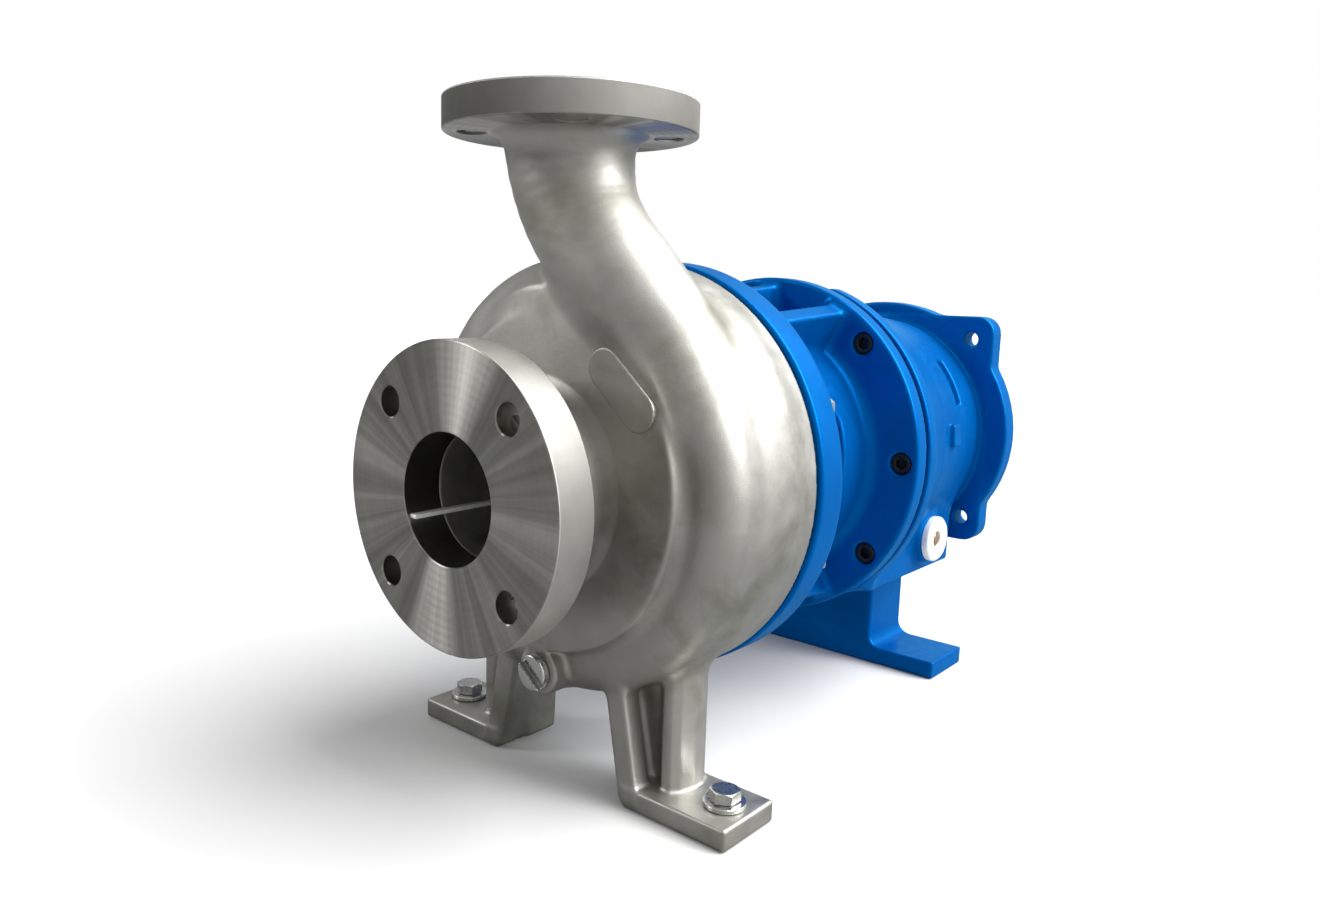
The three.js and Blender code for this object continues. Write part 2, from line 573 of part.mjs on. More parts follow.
// Shaft with a keyway at the coupling end
const KEY = { halfWidth: 4.7, bottom: 12.3, top: 18.7, front: 518, rear: 546 };
const frontBearingRear = BEARING.front + BEARING.width;
const rearBearingRear = BEARING.rear + BEARING.width;
const shaftBody = lathe([
  [0, SHAFT.front], [SHAFT.nose, SHAFT.front], [SHAFT.nose, 128], [SHAFT.sleeved, 128],
  [SHAFT.sleeved, SLEEVE.rear + PAST], [BEARING.bore, SLEEVE.rear + PAST],
  [BEARING.bore, frontBearingRear], [SHAFT.shoulder, frontBearingRear], [SHAFT.shoulder, BEARING.rear],
  [BEARING.bore, BEARING.rear], [BEARING.bore, rearBearingRear], [SHAFT.sleeved, rearBearingRear],
  [SHAFT.sleeved, SHAFT.rear], [0, SHAFT.rear],
]);
const keyway = box(-5, 5, KEY.front - GAP, KEY.rear + GAP, 12, 30);
addMesh("shaft", shaftBody.subtract(keyway), machinedStainless);
addMesh("coupling_key",
  box(-KEY.halfWidth, KEY.halfWidth, KEY.front, KEY.rear, KEY.bottom, KEY.top), bearingSteel);

// Coupling hub with three jaws towards the motor
function couplingHub() {
  const jaws = evenAngles(3, 90).map((angle) => box(15, 32, 541, 556, -9, 9).rotate([0, -angle, 0]));
  return joined([cylinderY(32, 514, 542, 0, 0, SEGMENTS), ...jaws]).subtract(joined([
    cylinderY(SHAFT.sleeved + GAP, 510, 560, 0, 0, SEGMENTS), box(-5, 5, 510, 560, 10, 19),
  ]));
}
addMesh("coupling_hub", couplingHub(), zincSteel);
addMesh("oil_flinger", ring(SHAFT.shoulder + GAP, 44, 430, 434), machinedStainless);

// Impeller, open at the front, screwed on the shaft end
function vaneOutline() {
  const [hubRadius, wrap, halfThickness, steps] = [26, 75, 2, 6];
  const centre = (share) =>
    new THREE.Vector2(...around(hubRadius + (IMPELLER.radius + 3 - hubRadius) * share, -wrap * share));
  const outer = [];
  const inner = [];
  for (let i = 0; i <= steps; i += 1) {
    const point = centre(i / steps);
    const along = centre(i / steps + 0.01).sub(point).normalize();
    const side = new THREE.Vector2(-along.y, along.x).multiplyScalar(halfThickness);
    outer.push(point.clone().add(side).toArray());
    inner.unshift(point.clone().sub(side).toArray());
  }
  return [...outer, ...inner];
}

function impeller() {
  const { radius, front, shroudFront, shroudRear, vanes } = IMPELLER;
  const hub = lathe([
    [0, 86], [8, 87.5], [14, 92], [22, 106], [34, shroudFront - 3], [radius, shroudFront],
    [radius, shroudRear], [22, shroudRear], [22, 127.5], [0, 127.5],
  ]);
  const blades = evenAngles(vanes).map((angle) =>
    plateY(vaneOutline(), front, shroudFront + 2).rotate([0, -angle, 0]));
  const trimmed = joined(blades).intersect(cylinderY(radius, front, shroudRear, 0, 0, LARGE));
  return joined([hub, trimmed]).subtract(cylinderY(SHAFT.nose + GAP, 99, 140, 0, 0, SEGMENTS));
}
addMesh("impeller", impeller(), castStainless);

export default pump;
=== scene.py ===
"""Looks of the centrifugal water pump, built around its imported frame.

Shapes are worked out in millimetres in the pump's own frame, where y = 0 is the suction face and
x = z = 0 is the shaft axis. Every object's origin is that point, so its mesh is the pump's frame
in metres. Castings are distance fields that blend into each other, and machined pieces are turned.
"""
import math

import bmesh
import bpy
import numpy as np
import openvdb
from mathutils import Matrix, Vector


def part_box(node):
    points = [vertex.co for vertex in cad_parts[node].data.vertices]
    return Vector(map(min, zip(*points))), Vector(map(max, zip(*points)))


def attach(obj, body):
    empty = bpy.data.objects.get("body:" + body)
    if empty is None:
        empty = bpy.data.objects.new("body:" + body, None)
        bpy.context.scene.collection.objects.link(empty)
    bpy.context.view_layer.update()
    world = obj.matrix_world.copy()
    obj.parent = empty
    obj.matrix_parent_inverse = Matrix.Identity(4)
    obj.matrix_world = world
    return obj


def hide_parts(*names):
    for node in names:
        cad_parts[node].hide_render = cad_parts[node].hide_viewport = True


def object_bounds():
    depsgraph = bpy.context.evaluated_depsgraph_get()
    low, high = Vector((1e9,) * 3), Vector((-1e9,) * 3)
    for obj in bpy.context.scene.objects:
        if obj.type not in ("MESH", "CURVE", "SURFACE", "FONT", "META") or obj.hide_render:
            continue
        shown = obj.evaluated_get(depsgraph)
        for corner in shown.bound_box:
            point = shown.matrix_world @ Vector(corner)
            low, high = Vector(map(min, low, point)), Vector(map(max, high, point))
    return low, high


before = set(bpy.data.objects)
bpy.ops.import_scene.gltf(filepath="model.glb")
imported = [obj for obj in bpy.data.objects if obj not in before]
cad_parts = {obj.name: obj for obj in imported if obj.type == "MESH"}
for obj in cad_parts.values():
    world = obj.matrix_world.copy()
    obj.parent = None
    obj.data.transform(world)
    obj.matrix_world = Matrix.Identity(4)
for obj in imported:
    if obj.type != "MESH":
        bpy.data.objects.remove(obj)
cad_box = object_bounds()

MM = 0.001
SUCTION_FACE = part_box("volute_casing")[0].y
SHAFT_HEIGHT = sum(corner.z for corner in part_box("shaft")) / 2
ORIGIN = Vector((0, SUCTION_FACE, SHAFT_HEIGHT))
FLOOR = -SHAFT_HEIGHT / MM
CASTING_PITCH = 1.25


def low_high(node):
    """A CAD node's lowest and highest corner, in millimetres in the pump's frame."""
    return [np.array((corner - ORIGIN) / MM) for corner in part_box(node)]


def centre(node):
    low, high = low_high(node)
    return (low + high) / 2


# Driving sizes, in millimetres
LENGTH = low_high("bearing_housing")[1][1]
DISCHARGE_TOP = low_high("volute_casing")[1][2]
DISCHARGE_Y = 101.6
SUCTION = {"radius": 95.25, "thickness": 28.5, "bore": 40.5, "bolt_circle": 76.2, "hole": 9.5}
DISCHARGE = {"radius": 81.0, "thickness": 20.25, "bore": 28.0, "bolt_circle": 62.5, "hole": 9.5}
CASING_RADIUS = 145.0
CASING_REAR = 181.0
RING = {"radius": 146.5, "front": 185.0, "rear": 212.0, "recess": 130.6}
DRUM = {"outer": 98.0, "inner": 88.0}
ADAPTER_FLANGE = {"radius": 139.0, "front": 338.0, "rear": 353.5}
HOUSING = {"radius": 138.5, "front": 361.0, "web_rear": 506.0}
MOTOR_FLANGE = {"radius": 129.0, "half_height": 121.0, "front": 541.0, "pilot": 95.0, "recess": 88.0,
                "corner": 110.0, "trim": 16.0}
SUMP = {"half_width": 90.0, "bottom": 115.0, "rear": 528.0}
FLANGE_ANGLES = [45, 135, 225, 315]


def around(radius, degrees):
    """x and z at an angle about the shaft, counted from +X towards +Z."""
    return radius * math.cos(math.radians(degrees)), radius * math.sin(math.radians(degrees))


# ------- outlines


def rounded(points, radius, steps=5):
    """A closed outline with its corners turned into arcs. A third value is a corner's own radius."""
    outline = []
    corners = [np.array(p[:2], float) for p in points]
    for i, corner in enumerate(corners):
        wanted = points[i][2] if len(points[i]) > 2 else radius
        before = corners[i - 1] - corner
        after = corners[(i + 1) % len(corners)] - corner
        reach = min(np.linalg.norm(before), np.linalg.norm(after)) * 0.48
        before, after = before / np.linalg.norm(before), after / np.linalg.norm(after)
        half = math.acos(max(-1.0, min(1.0, float(before @ after)))) / 2
        on_axis = abs(corner[0]) < 1e-6
        if wanted <= 0 or on_axis or half > math.radians(88):
            outline.append(corner)
            continue
        distance = min(wanted / math.tan(half), reach)
        actual = distance * math.tan(half)
        middle = corner + (before + after) / np.linalg.norm(before + after) * actual / math.sin(half)
        start, end = corner + before * distance - middle, corner + after * distance - middle
        sweep = math.acos(max(-1.0, min(1.0, float(start @ end) / actual ** 2)))
        for step in range(steps + 1):
            t = step / steps
            weights = (math.sin((1 - t) * sweep), math.sin(t * sweep))
            outline.append(middle + (weights[0] * start + weights[1] * end) / math.sin(sweep))
    return [tuple(p) for p in outline]


def ring_profile(inner, outer, front, rear, edge):
    return rounded([(inner, front), (outer, front), (outer, rear), (inner, rear)], edge)


def stadium(high, low, radius, steps=10):
    """An oblong outline with round ends about two points."""
    (x0, z0), (x1, z1) = high, low
    side = math.degrees(math.atan2(z1 - z0, x1 - x0))
    ends = [(x1, z1, side - 90), (x0, z0, side + 90)]
    return [(x + radius * math.cos(math.radians(first + 180 * i / steps)),
             z + radius * math.sin(math.radians(first + 180 * i / steps)))
            for x, z, first in ends for i in range(steps + 1)]


# ------- distance fields

FAR = 30.0


def polygon_distance(outline, u, v):
    """Signed distance from each (u, v) to a closed outline, negative inside."""
    u, v = np.broadcast_arrays(np.asarray(u, np.float32), np.asarray(v, np.float32))
    nearest = np.full(u.shape, np.inf, np.float32)
    inside = np.zeros(u.shape, bool)
    for (au, av), (bu, bv) in zip(outline, outline[1:] + outline[:1]):
        eu, ev = bu - au, bv - av
        length = eu * eu + ev * ev
        if length < 1e-12:
            continue
        t = np.clip(((u - au) * eu + (v - av) * ev) / length, 0, 1)
        nearest = np.minimum(nearest, (u - au - t * eu) ** 2 + (v - av - t * ev) ** 2)
        if abs(ev) > 1e-9:
            inside ^= ((av > v) != (bv > v)) & (u < au + eu * (v - av) / ev)
    return np.where(inside, -1, 1) * np.sqrt(nearest)


def revolved(profile, across=0.5):
    """A solid turned about the shaft from a closed [radius, y] profile."""
    behind_axis = -60.0
    outline = [(r if r > 1e-6 else behind_axis, y) for r, y in profile]

    def distance(x, y, z):
        radius = np.hypot(x, z)[:, 0, :]
        rows = np.arange(0, radius.max() + 2 * across, across)
        table = polygon_distance(outline, rows[:, None], y.ravel()[None, :])
        place = radius / across
        row = place.astype(int)
        share = (place - row)[..., None]
        return (table[row] * (1 - share) + table[row + 1] * share).transpose(0, 2, 1)
    return distance


def prism(section, start, end, along, rounding):
    """A straight bar between two planes, from the distance field of its section."""
    def distance(x, y, z):
        u, v, w = {"x": (y, z, x), "y": (x, z, y), "z": (x, y, z)}[along]
        flat = section(u, v) + rounding
        slab = np.abs(w - (start + end) / 2) - (end - start) / 2 + rounding
        outside = np.hypot(np.maximum(flat, 0), np.maximum(slab, 0))
        return np.minimum(np.maximum(flat, slab), 0) + outside - rounding
    return distance


def extruded(outline, start, end, along="y", rounding=0.0):
    """A plate between two planes. Its outline is in the other two axes, in x, y, z order."""
    return prism(lambda u, v: polygon_distance(outline, u, v), start, end, along, rounding)


def rod(radius, start, end, along, first=0.0, second=0.0, rounding=0.0):
    """A round bar along an axis, at a place in the other two axes, in x, y, z order."""
    return prism(lambda u, v: np.hypot(u - first, v - second) - radius, start, end, along, rounding)


def block(x0, x1, y0, y1, z0, z1, rounding=0.0):
    return extruded([(x0, z0), (x1, z0), (x1, z1), (x0, z1)], y0, y1, "y", rounding)


def tube(points, radii):
    """A bent round bar whose radius changes from point to point."""
    def distance(x, y, z):
        nearest = None
        for a, b, ra, rb in zip(points, points[1:], radii, radii[1:]):
            e = b - a
            t = ((x - a[0]) * e[0] + (y - a[1]) * e[1] + (z - a[2]) * e[2]) / float(e @ e)
            t = np.clip(t, 0, 1)
            gap = np.sqrt((x - a[0] - t * e[0]) ** 2 + (y - a[1] - t * e[1]) ** 2
                          + (z - a[2] - t * e[2]) ** 2) - (ra + (rb - ra) * t)
            nearest = gap if nearest is None else np.minimum(nearest, gap)
        return nearest
    return distance


def turned_by(distance, degrees):
    """The same shape turned about the shaft axis."""
    c, s = math.cos(math.radians(degrees)), math.sin(math.radians(degrees))
    return lambda x, y, z: distance(x * c + z * s, y, z * c - x * s)


class Casting:
    """A solid on a grid of signed distances, in millimetres. It never passes its own box."""

    def __init__(self, low, high, pitch):
        self.pitch = pitch
        self.box = low, high
        self.low = np.array(low, float) - 2 * pitch
        self.axes = [np.arange(a, b + 2.5 * pitch, pitch, dtype=np.float32)
                     for a, b in zip(self.low, high)]
        self.value = np.full([len(a) for a in self.axes], FAR, np.float32)

    def part(self, bounds):
        """The slices and coordinates of a box of the grid; None keeps an axis whole."""
        slices = []
        for axis, limits in zip(self.axes, bounds or (None, None, None)):
            a, b = (0, len(axis)) if limits is None else np.searchsorted(axis, limits)
            slices.append(slice(int(a), int(b)))
        x, y, z = (axis[s] for axis, s in zip(self.axes, slices))
        return tuple(slices), (x[:, None, None], y[None, :, None], z[None, None, :])

    def add(self, distance, blend=0.0, bounds=None):
        where, coordinates = self.part(bounds)
        self.value[where] = smooth_least(self.value[where], distance(*coordinates), blend)

    def cut(self, distance, blend=0.0, bounds=None):
        where, coordinates = self.part(bounds)
        self.value[where] = -smooth_least(-self.value[where], distance(*coordinates), blend)

    def mesh(self, name):
        _, coordinates = self.part(None)
        for axis, low, high in zip(coordinates, *self.box):
            self.value = np.maximum(self.value, np.maximum(low - axis, axis - high))
        grid = openvdb.FloatGrid(FAR)
        grid.copyFromArray(np.clip(self.value, -FAR, FAR).astype(np.float32))
        points, triangles, quads = grid.convertToPolygons(isovalue=0.0, adaptivity=0.0)
        made = bpy.data.meshes.new(name)
        made.from_pydata(((points * self.pitch + self.low) * MM).tolist(), [],
                         triangles.tolist() + quads.tolist())
        return made


def smooth_least(a, b, blend):
    if blend <= 0:
        return np.minimum(a, b)
    h = np.maximum(blend - np.abs(a - b), 0) / blend
    return np.minimum(a, b) - h * h * blend / 4


# ------- pieces


def linked(name, data):
    """A new object in the scene."""
    made = bpy.data.objects.new(name, data)
    bpy.context.scene.collection.objects.link(made)
    return made


def cleaned(mesh, matrix=None):
    """The mesh with doubled points merged and its faces turned outwards, moved to its place."""
    edit = bmesh.new()
    edit.from_mesh(mesh)
    bmesh.ops.remove_doubles(edit, verts=edit.verts, dist=1e-6)
    bmesh.ops.recalc_face_normals(edit, faces=edit.faces)
    if matrix is not None:
        bmesh.ops.transform(edit, matrix=matrix, verts=edit.verts)
    edit.to_mesh(mesh)
    edit.free()
    return mesh


def piece(name, mesh, material, body, *nodes, slot=None, sharp=35, matrix=None):
    """A finished mesh in the pump's frame, riding on its body and standing for its CAD nodes."""
    cleaned(mesh, matrix)
    mesh.polygons.foreach_set("use_smooth", [True] * len(mesh.polygons))
    if sharp:
        mesh.set_sharp_from_angle(angle=math.radians(sharp))
    made = linked(name, mesh)
    made.location = ORIGIN
    mesh.materials.append(material)
    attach(made, body)
    if nodes:
        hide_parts(*nodes)
    return made


def cast_piece(name, casting, material, node, slot):
    made = piece(name, casting.mesh(name), material, "stator", node, slot=slot, sharp=0)
    smooth = made.modifiers.new("fair", "SMOOTH")
    smooth.factor = 0.5
    smooth.iterations = 2
    apply_modifiers(made)


def apply_modifiers(made):
    graph = bpy.context.evaluated_depsgraph_get()
    graph.update()
    mesh = bpy.data.meshes.new_from_object(made.evaluated_get(graph))
    made.modifiers.clear()
    made.data = mesh


def revolve(name, profile, segments=128):
    """A mesh turned about +Y. The profile is a list of [radius, y], or a function of the angle."""
    profile_at = profile if callable(profile) else lambda angle: profile
    columns = [profile_at(2 * math.pi * i / segments) for i in range(segments)]
    count = len(columns[0])
    verts = []
    for i, column in enumerate(columns):
        c, s = math.cos(2 * math.pi * i / segments), math.sin(2 * math.pi * i / segments)
        verts += [(r * c * MM, y * MM, r * s * MM) for r, y in column]
    on_axis = columns[0][0][0] < 1e-6 and columns[0][-1][0] < 1e-6
    spans = count - 1 if on_axis else count
    faces = []
    for i in range(segments):
        j = (i + 1) % segments
        for k in range(spans):
            n = (k + 1) % count
            faces.append((i * count + k, i * count + n, j * count + n, j * count + k))
    made = bpy.data.meshes.new(name)
    made.from_pydata(verts, [], faces)
    return cleaned(made)


def placed(x=0.0, y=0.0, z=0.0, along="y"):
    """A matrix that puts a piece turned about +Y at a place, with its axis along another one."""
    turn = {"y": Matrix.Identity(4), "-y": Matrix.Rotation(math.pi, 4, "Z"),
            "z": Matrix.Rotation(math.pi / 2, 4, "X"), "-z": Matrix.Rotation(-math.pi / 2, 4, "X"),
            "x": Matrix.Rotation(-math.pi / 2, 4, "Z")}[along]
    return Matrix.Translation(Vector((x, y, z)) * MM) @ turn


def drilled(mesh, tools):
    """The mesh with every tool, a (mesh, matrix) pair, cut out of it."""
    body = linked("body", mesh)
    cutter_mesh = bpy.data.meshes.new("cutter")
    edit = bmesh.new()
    for tool, matrix in tools:
        own = tool.copy()
        own.transform(matrix)
        edit.from_mesh(own)
        bpy.data.meshes.remove(own)
    edit.to_mesh(cutter_mesh)
    edit.free()
    cutter = linked("cutter", cutter_mesh)
    boolean = body.modifiers.new("drill", "BOOLEAN")
    boolean.operation = "DIFFERENCE"
    boolean.solver = "EXACT"
    boolean.object = cutter
    apply_modifiers(body)
    result = body.data
    bpy.data.objects.remove(body)
    bpy.data.objects.remove(cutter)
    return result


def hole_tool(radius, front, rear, chamfer=0.8, segments=40):
    """A drill that also breaks both edges of its hole."""
    past = 3.0
    return revolve("tool", [
        (0, front - past), (radius + chamfer + past, front - past), (radius, front + chamfer),
        (radius, rear - chamfer), (radius + chamfer + past, rear + past), (0, rear + past),
    ], segments)


def faced(made, axis, material):
    """Gives the faces square to an axis the finish of a facing cut."""
    made.data.materials.append(material)
    for polygon in made.data.polygons:
        polygon.material_index = int(abs(polygon.normal[axis]) > 0.7)


def keep_flats(made):
    """Flat faces keep their own normals beside narrow rounded edges."""
    weighted = made.modifiers.new("flats", "WEIGHTED_NORMAL")
    weighted.keep_sharp = True
    weighted.weight = 80


# ------- materials


class Finish:
    """A procedural material around one Principled shader. Patterns are in object coordinates."""

    def __init__(self, name, **inputs):
        self.material = bpy.data.materials.new(name)
        self.material.use_nodes = True
        self.tree = self.material.node_tree
        self.shader = self.tree.nodes["Principled BSDF"]
        for key, value in inputs.items():
            self.shader.inputs[key.replace("_", " ")].default_value = value
        self.place = self.node("TexCoord").outputs["Object"]
        self.normal = None

    def node(self, kind, **inputs):
        made = self.tree.nodes.new(f"ShaderNode{kind}")
        for key, value in inputs.items():
            made.inputs[key].default_value = value
        return made

    def link(self, source, target):
        self.tree.links.new(source, target)

    def noise(self, scale, detail=4.0, roughness=0.55, distortion=0.0):
        node = self.node("TexNoise", Scale=scale, Detail=detail, Roughness=roughness, Distortion=distortion)
        self.link(self.place, node.inputs["Vector"])
        return node.outputs["Fac"]

    def ramp(self, source, stops, socket):
        """Maps a pattern to colours, or to grey levels, and feeds a shader input."""
        node = self.node("ValToRGB")
        elements = node.color_ramp.elements
        while len(elements) < len(stops):
            elements.new(0.5)
        for element, (position, value) in zip(elements, stops):
            colour = value if hasattr(value, "__len__") else (value, value, value)
            element.position = position
            element.color = (*colour, 1)
        self.link(source, node.inputs["Fac"])
        if socket:
            self.link(node.outputs["Color"], self.shader.inputs[socket])
        return node.outputs["Color"]

    def vary(self, socket, low, high, *pattern):
        """Lets a shader input wander between two values, in patches of noise."""
        return self.ramp(self.noise(*pattern), [(0.3, low), (0.7, high)], socket)

    def mix(self, first, second, factor, mode="MULTIPLY"):
        node = self.node("Mix", Factor=factor)
        node.data_type = "RGBA"
        node.blend_type = mode
        self.link(first, node.inputs["A"])
        self.link(second, node.inputs["B"])
        return node.outputs["Result"]

    def bump(self, height, strength, depth):
        node = self.node("Bump", Strength=strength, Distance=depth)
        self.link(height, node.inputs["Height"])
        if self.normal is not None:
            self.link(self.normal, node.inputs["Normal"])
        self.normal = node.outputs["Normal"]
        self.link(self.normal, self.shader.inputs["Normal"])

    def move_pattern(self, middle):
        """Centres the patterns on a place in the pump's frame, in millimetres."""
        shift = self.node("VectorMath")
        shift.operation = "SUBTRACT"
        shift.inputs[1].default_value = Vector(middle) * MM
        self.link(self.place, shift.inputs[0])
        self.place = shift.outputs["Vector"]

    def painted_reflection_fans(self, axis, scale):
        """Painted reflection streaks in the colour: rays from the turning axis, the same noise all along
        each radius.
        """
        flat = self.node("VectorMath")
        flat.operation = "MULTIPLY"
        flat.inputs[1].default_value = (1, 0, 1) if axis == "Y" else (1, 1, 0)
        self.link(self.place, flat.inputs[0])
        ray = self.node("VectorMath")
        ray.operation = "NORMALIZE"
        self.link(flat.outputs["Vector"], ray.inputs[0])
        whole, self.place = self.place, ray.outputs["Vector"]
        pattern = self.noise(scale, 3, 0.65)
        self.place = whole
        return pattern

    def facing(self, axis):
        """1 on faces square to the axis and 0 on faces along it."""
        parts = self.node("SeparateXYZ")
        self.link(self.tree.nodes["Texture Coordinate"].outputs["Normal"], parts.inputs[0])
        node = self.node("Math")
        node.operation = "ABSOLUTE"
        self.link(parts.outputs[axis], node.inputs[0])
        return node.outputs["Value"]

    def turned_grain(self, axis):
        """Turning marks: circles about an axis through the middle of the piece."""
        tangent = self.node("Tangent")
        tangent.direction_type = "RADIAL"
        tangent.axis = axis
        self.link(tangent.outputs["Tangent"], self.shader.inputs["Tangent"])

    def rings(self, scale, axis="Y"):
        node = self.node("TexWave", Scale=scale, Distortion=1.5, Detail=2.0)
        node.wave_type = "RINGS"
        node.rings_direction = axis
        self.link(self.place, node.inputs["Vector"])
        return node.outputs["Fac"]


def cast_stainless():
    """Bead-blasted casting: satin, warm grey, with faint stains and a fine sandy grain."""
    made = Finish("cast_stainless", Metallic=1.0, Roughness=0.5)
    tone = made.vary(None, (0.385, 0.380, 0.352), (0.465, 0.460, 0.432), 22, 5, 0.6)
    stains = made.ramp(made.noise(14, 6, 0.62, distortion=0.5),
                       [(0.33, (0.66, 0.66, 0.58)), (0.5, (1, 1, 1))], None)
    made.link(made.mix(tone, stains, 0.75), made.shader.inputs["Base Color"])
    made.vary("Roughness", 0.44, 0.58, 60, 5, 0.6)
    made.bump(made.noise(1000, 3, 0.6), 0.25, 0.0004)
    made.bump(made.noise(90, 4, 0.5), 0.12, 0.0010)
    return made.material


def machined_stainless(name, axis, middle=(0, 0, 0), turn=0.0):
    """Lathe-turned stainless: fine circular tool marks that spread highlights into radial fan shapes, plus a
    painted reflection: lighter and darker rays in the colour of the faces square to the axis.
    """
    made = Finish(name, Metallic=1.0, Roughness=0.4, Anisotropic=0.93, Anisotropic_Rotation=turn)
    made.move_pattern(middle)
    tone = made.vary(None, (0.30, 0.296, 0.270), (0.36, 0.355, 0.335), 35, 4, 0.6)
    # Painted reflection: the colour of faces square to the axis is lightened and darkened in rays from the
    # axis.
    painted_reflection_fans = made.ramp(made.painted_reflection_fans(axis, 5.5), [(0.36, 0.72), (0.5, 0.95), (0.66, 1.3)], None)
    painted_fan_tone = made.mix(tone, painted_reflection_fans, 1.0)
    made.link(made.facing(axis), painted_fan_tone.node.inputs["Factor"])
    made.link(painted_fan_tone, made.shader.inputs["Base Color"])
    made.ramp(made.rings(60, axis), [(0.0, 0.36), (1.0, 0.42)], "Roughness")
    made.bump(made.rings(160, axis), 0.03, 0.0002)
    made.turned_grain(axis)
    return made.material


def rib_painted_highlight():
    """The bore's rib, coloured near white as a painted highlight, so that it stands out in the dark."""
    made = Finish("rib_painted_highlight", Metallic=0.1, Roughness=0.35)
    made.vary("Base Color", (0.70, 0.70, 0.68), (0.85, 0.85, 0.82), 150, 3)
    made.bump(made.noise(900, 2), 0.08, 0.0002)
    return made.material


def blue_paint():
    """Gloss enamel sprayed over a casting: even colour, orange peel and the casting's soft waves."""
    made = Finish("blue_paint", Metallic=0.45, Roughness=0.36, Specular_IOR_Level=0.06)
    made.shader.inputs["Specular Tint"].default_value = (0.0, 0.95, 1.0, 1)
    made.vary("Base Color", (0.0, 0.088, 0.34), (0.0, 0.110, 0.40), 18, 4)
    made.vary("Roughness", 0.30, 0.42, 120, 3)
    made.bump(made.noise(420, 2, 0.5), 0.06, 0.0006)
    made.bump(made.noise(60, 3, 0.5), 0.16, 0.0014)
    return made.material


def black_rubber():
    made = Finish("black_rubber", Roughness=0.6)
    made.vary("Base Color", (0.006, 0.007, 0.010), (0.014, 0.015, 0.02), 90, 4)
    made.vary("Roughness", 0.5, 0.7, 200, 3)
    made.bump(made.noise(700, 2), 0.12, 0.0003)
    return made.material


def zinc_steel():
    made = Finish("zinc_steel", Metallic=1.0, Roughness=0.3)
    made.vary("Base Color", (0.56, 0.56, 0.55), (0.64, 0.64, 0.63), 140, 4, 0.6)
    made.vary("Roughness", 0.24, 0.34, 300, 3)
    made.bump(made.noise(1200, 2), 0.04, 0.0002)
    return made.material


def black_oxide():
    made = Finish("black_oxide", Metallic=0.8, Roughness=0.4)
    made.vary("Base Color", (0.02, 0.022, 0.026), (0.05, 0.052, 0.056), 200, 4)
    made.vary("Roughness", 0.32, 0.52, 320, 3)
    return made.material


def bearing_steel():
    made = Finish("bearing_steel", Metallic=1.0, Roughness=0.15)
    made.vary("Base Color", (0.50, 0.51, 0.53), (0.62, 0.63, 0.65), 120, 3)
    made.vary("Roughness", 0.1, 0.22, 500, 3)
    return made.material


def seal_carbon():
    made = Finish("seal_carbon", Roughness=0.4)
    made.vary("Base Color", (0.02, 0.02, 0.022), (0.05, 0.05, 0.055), 300, 4)
    made.vary("Roughness", 0.3, 0.5, 150, 3)
    return made.material


def sight_enamel():
    """The white reflector behind the glass."""
    made = Finish("sight_enamel", Roughness=0.3, Coat_Weight=0.6, Coat_Roughness=0.05)
    made.vary("Base Color", (0.72, 0.71, 0.68), (0.86, 0.85, 0.82), 160, 4)
    made.bump(made.noise(500, 2), 0.08, 0.0003)
    return made.material


def oiled_glass():
    made = Finish("oiled_glass", Roughness=0.06, Coat_Weight=1.0, Coat_Roughness=0.02)
    made.vary("Base Color", (0.10, 0.06, 0.03), (0.20, 0.13, 0.06), 90, 3)
    return made.material


CAST = cast_stainless()
RIB_PAINTED_HIGHLIGHT = rib_painted_highlight()
MACHINED_Y = machined_stainless("machined_stainless", "Y")
MACHINED_Z = machined_stainless("machined_stainless_upright", "Z", (0, DISCHARGE_Y, 0))
FACED_Y = machined_stainless("faced_stainless", "Y", turn=0.25)
FACED_Z = machined_stainless("faced_stainless_upright", "Z", (0, DISCHARGE_Y, 0), 0.25)
PAINT = blue_paint()
RUBBER = black_rubber()
ZINC = zinc_steel()
BLACK = black_oxide()
BEARING = bearing_steel()
CARBON = seal_carbon()
ENAMEL = sight_enamel()
OIL_GLASS = oiled_glass()


# ------- volute casing

VOLUTE = {"first": 160.0, "sweep": 220.0, "thin": 17.0, "growth": 7.0, "front": 113.0, "drift": -5.0,
          "reach": 144.6, "rear": 152.0}
# Each neck station is x, y, z and the radius there
NECK = [(100, 124, 14, 37), (89, 118, 70, 34.5), (54, 107, 119, 36), (25, 102.6, 152, 36.5),
        (8, 101.6, 178, 38), (0, 101.6, 208, 41), (0, 101.6, 232, 42)]
# The casing's filled-out shoulder behind the neck, in the same form
SHOULDER = [(101, 150, 0, 39), (97, 150, 40, 38), (82, 150, 76, 33), (62, 149, 100, 27), (42, 147, 114, 21)]
FRONT_FOOT = {"outer": 143.4, "inner": 61.0, "front": 96.5, "rear": 151.0, "thickness": 14.6,
              "hole_x": 123.8, "hole": 5.5}
DRAIN = {"z": -127.5, "boss": 17.0, "face": 77.3, "hole": 8.8, "head": 12.5}
PAD = {"high": (57, 79), "low": (84, 55), "radius": 12.6, "front": 74.0}
PAD_PITCH = 0.5
RIB_PITCH = 0.3


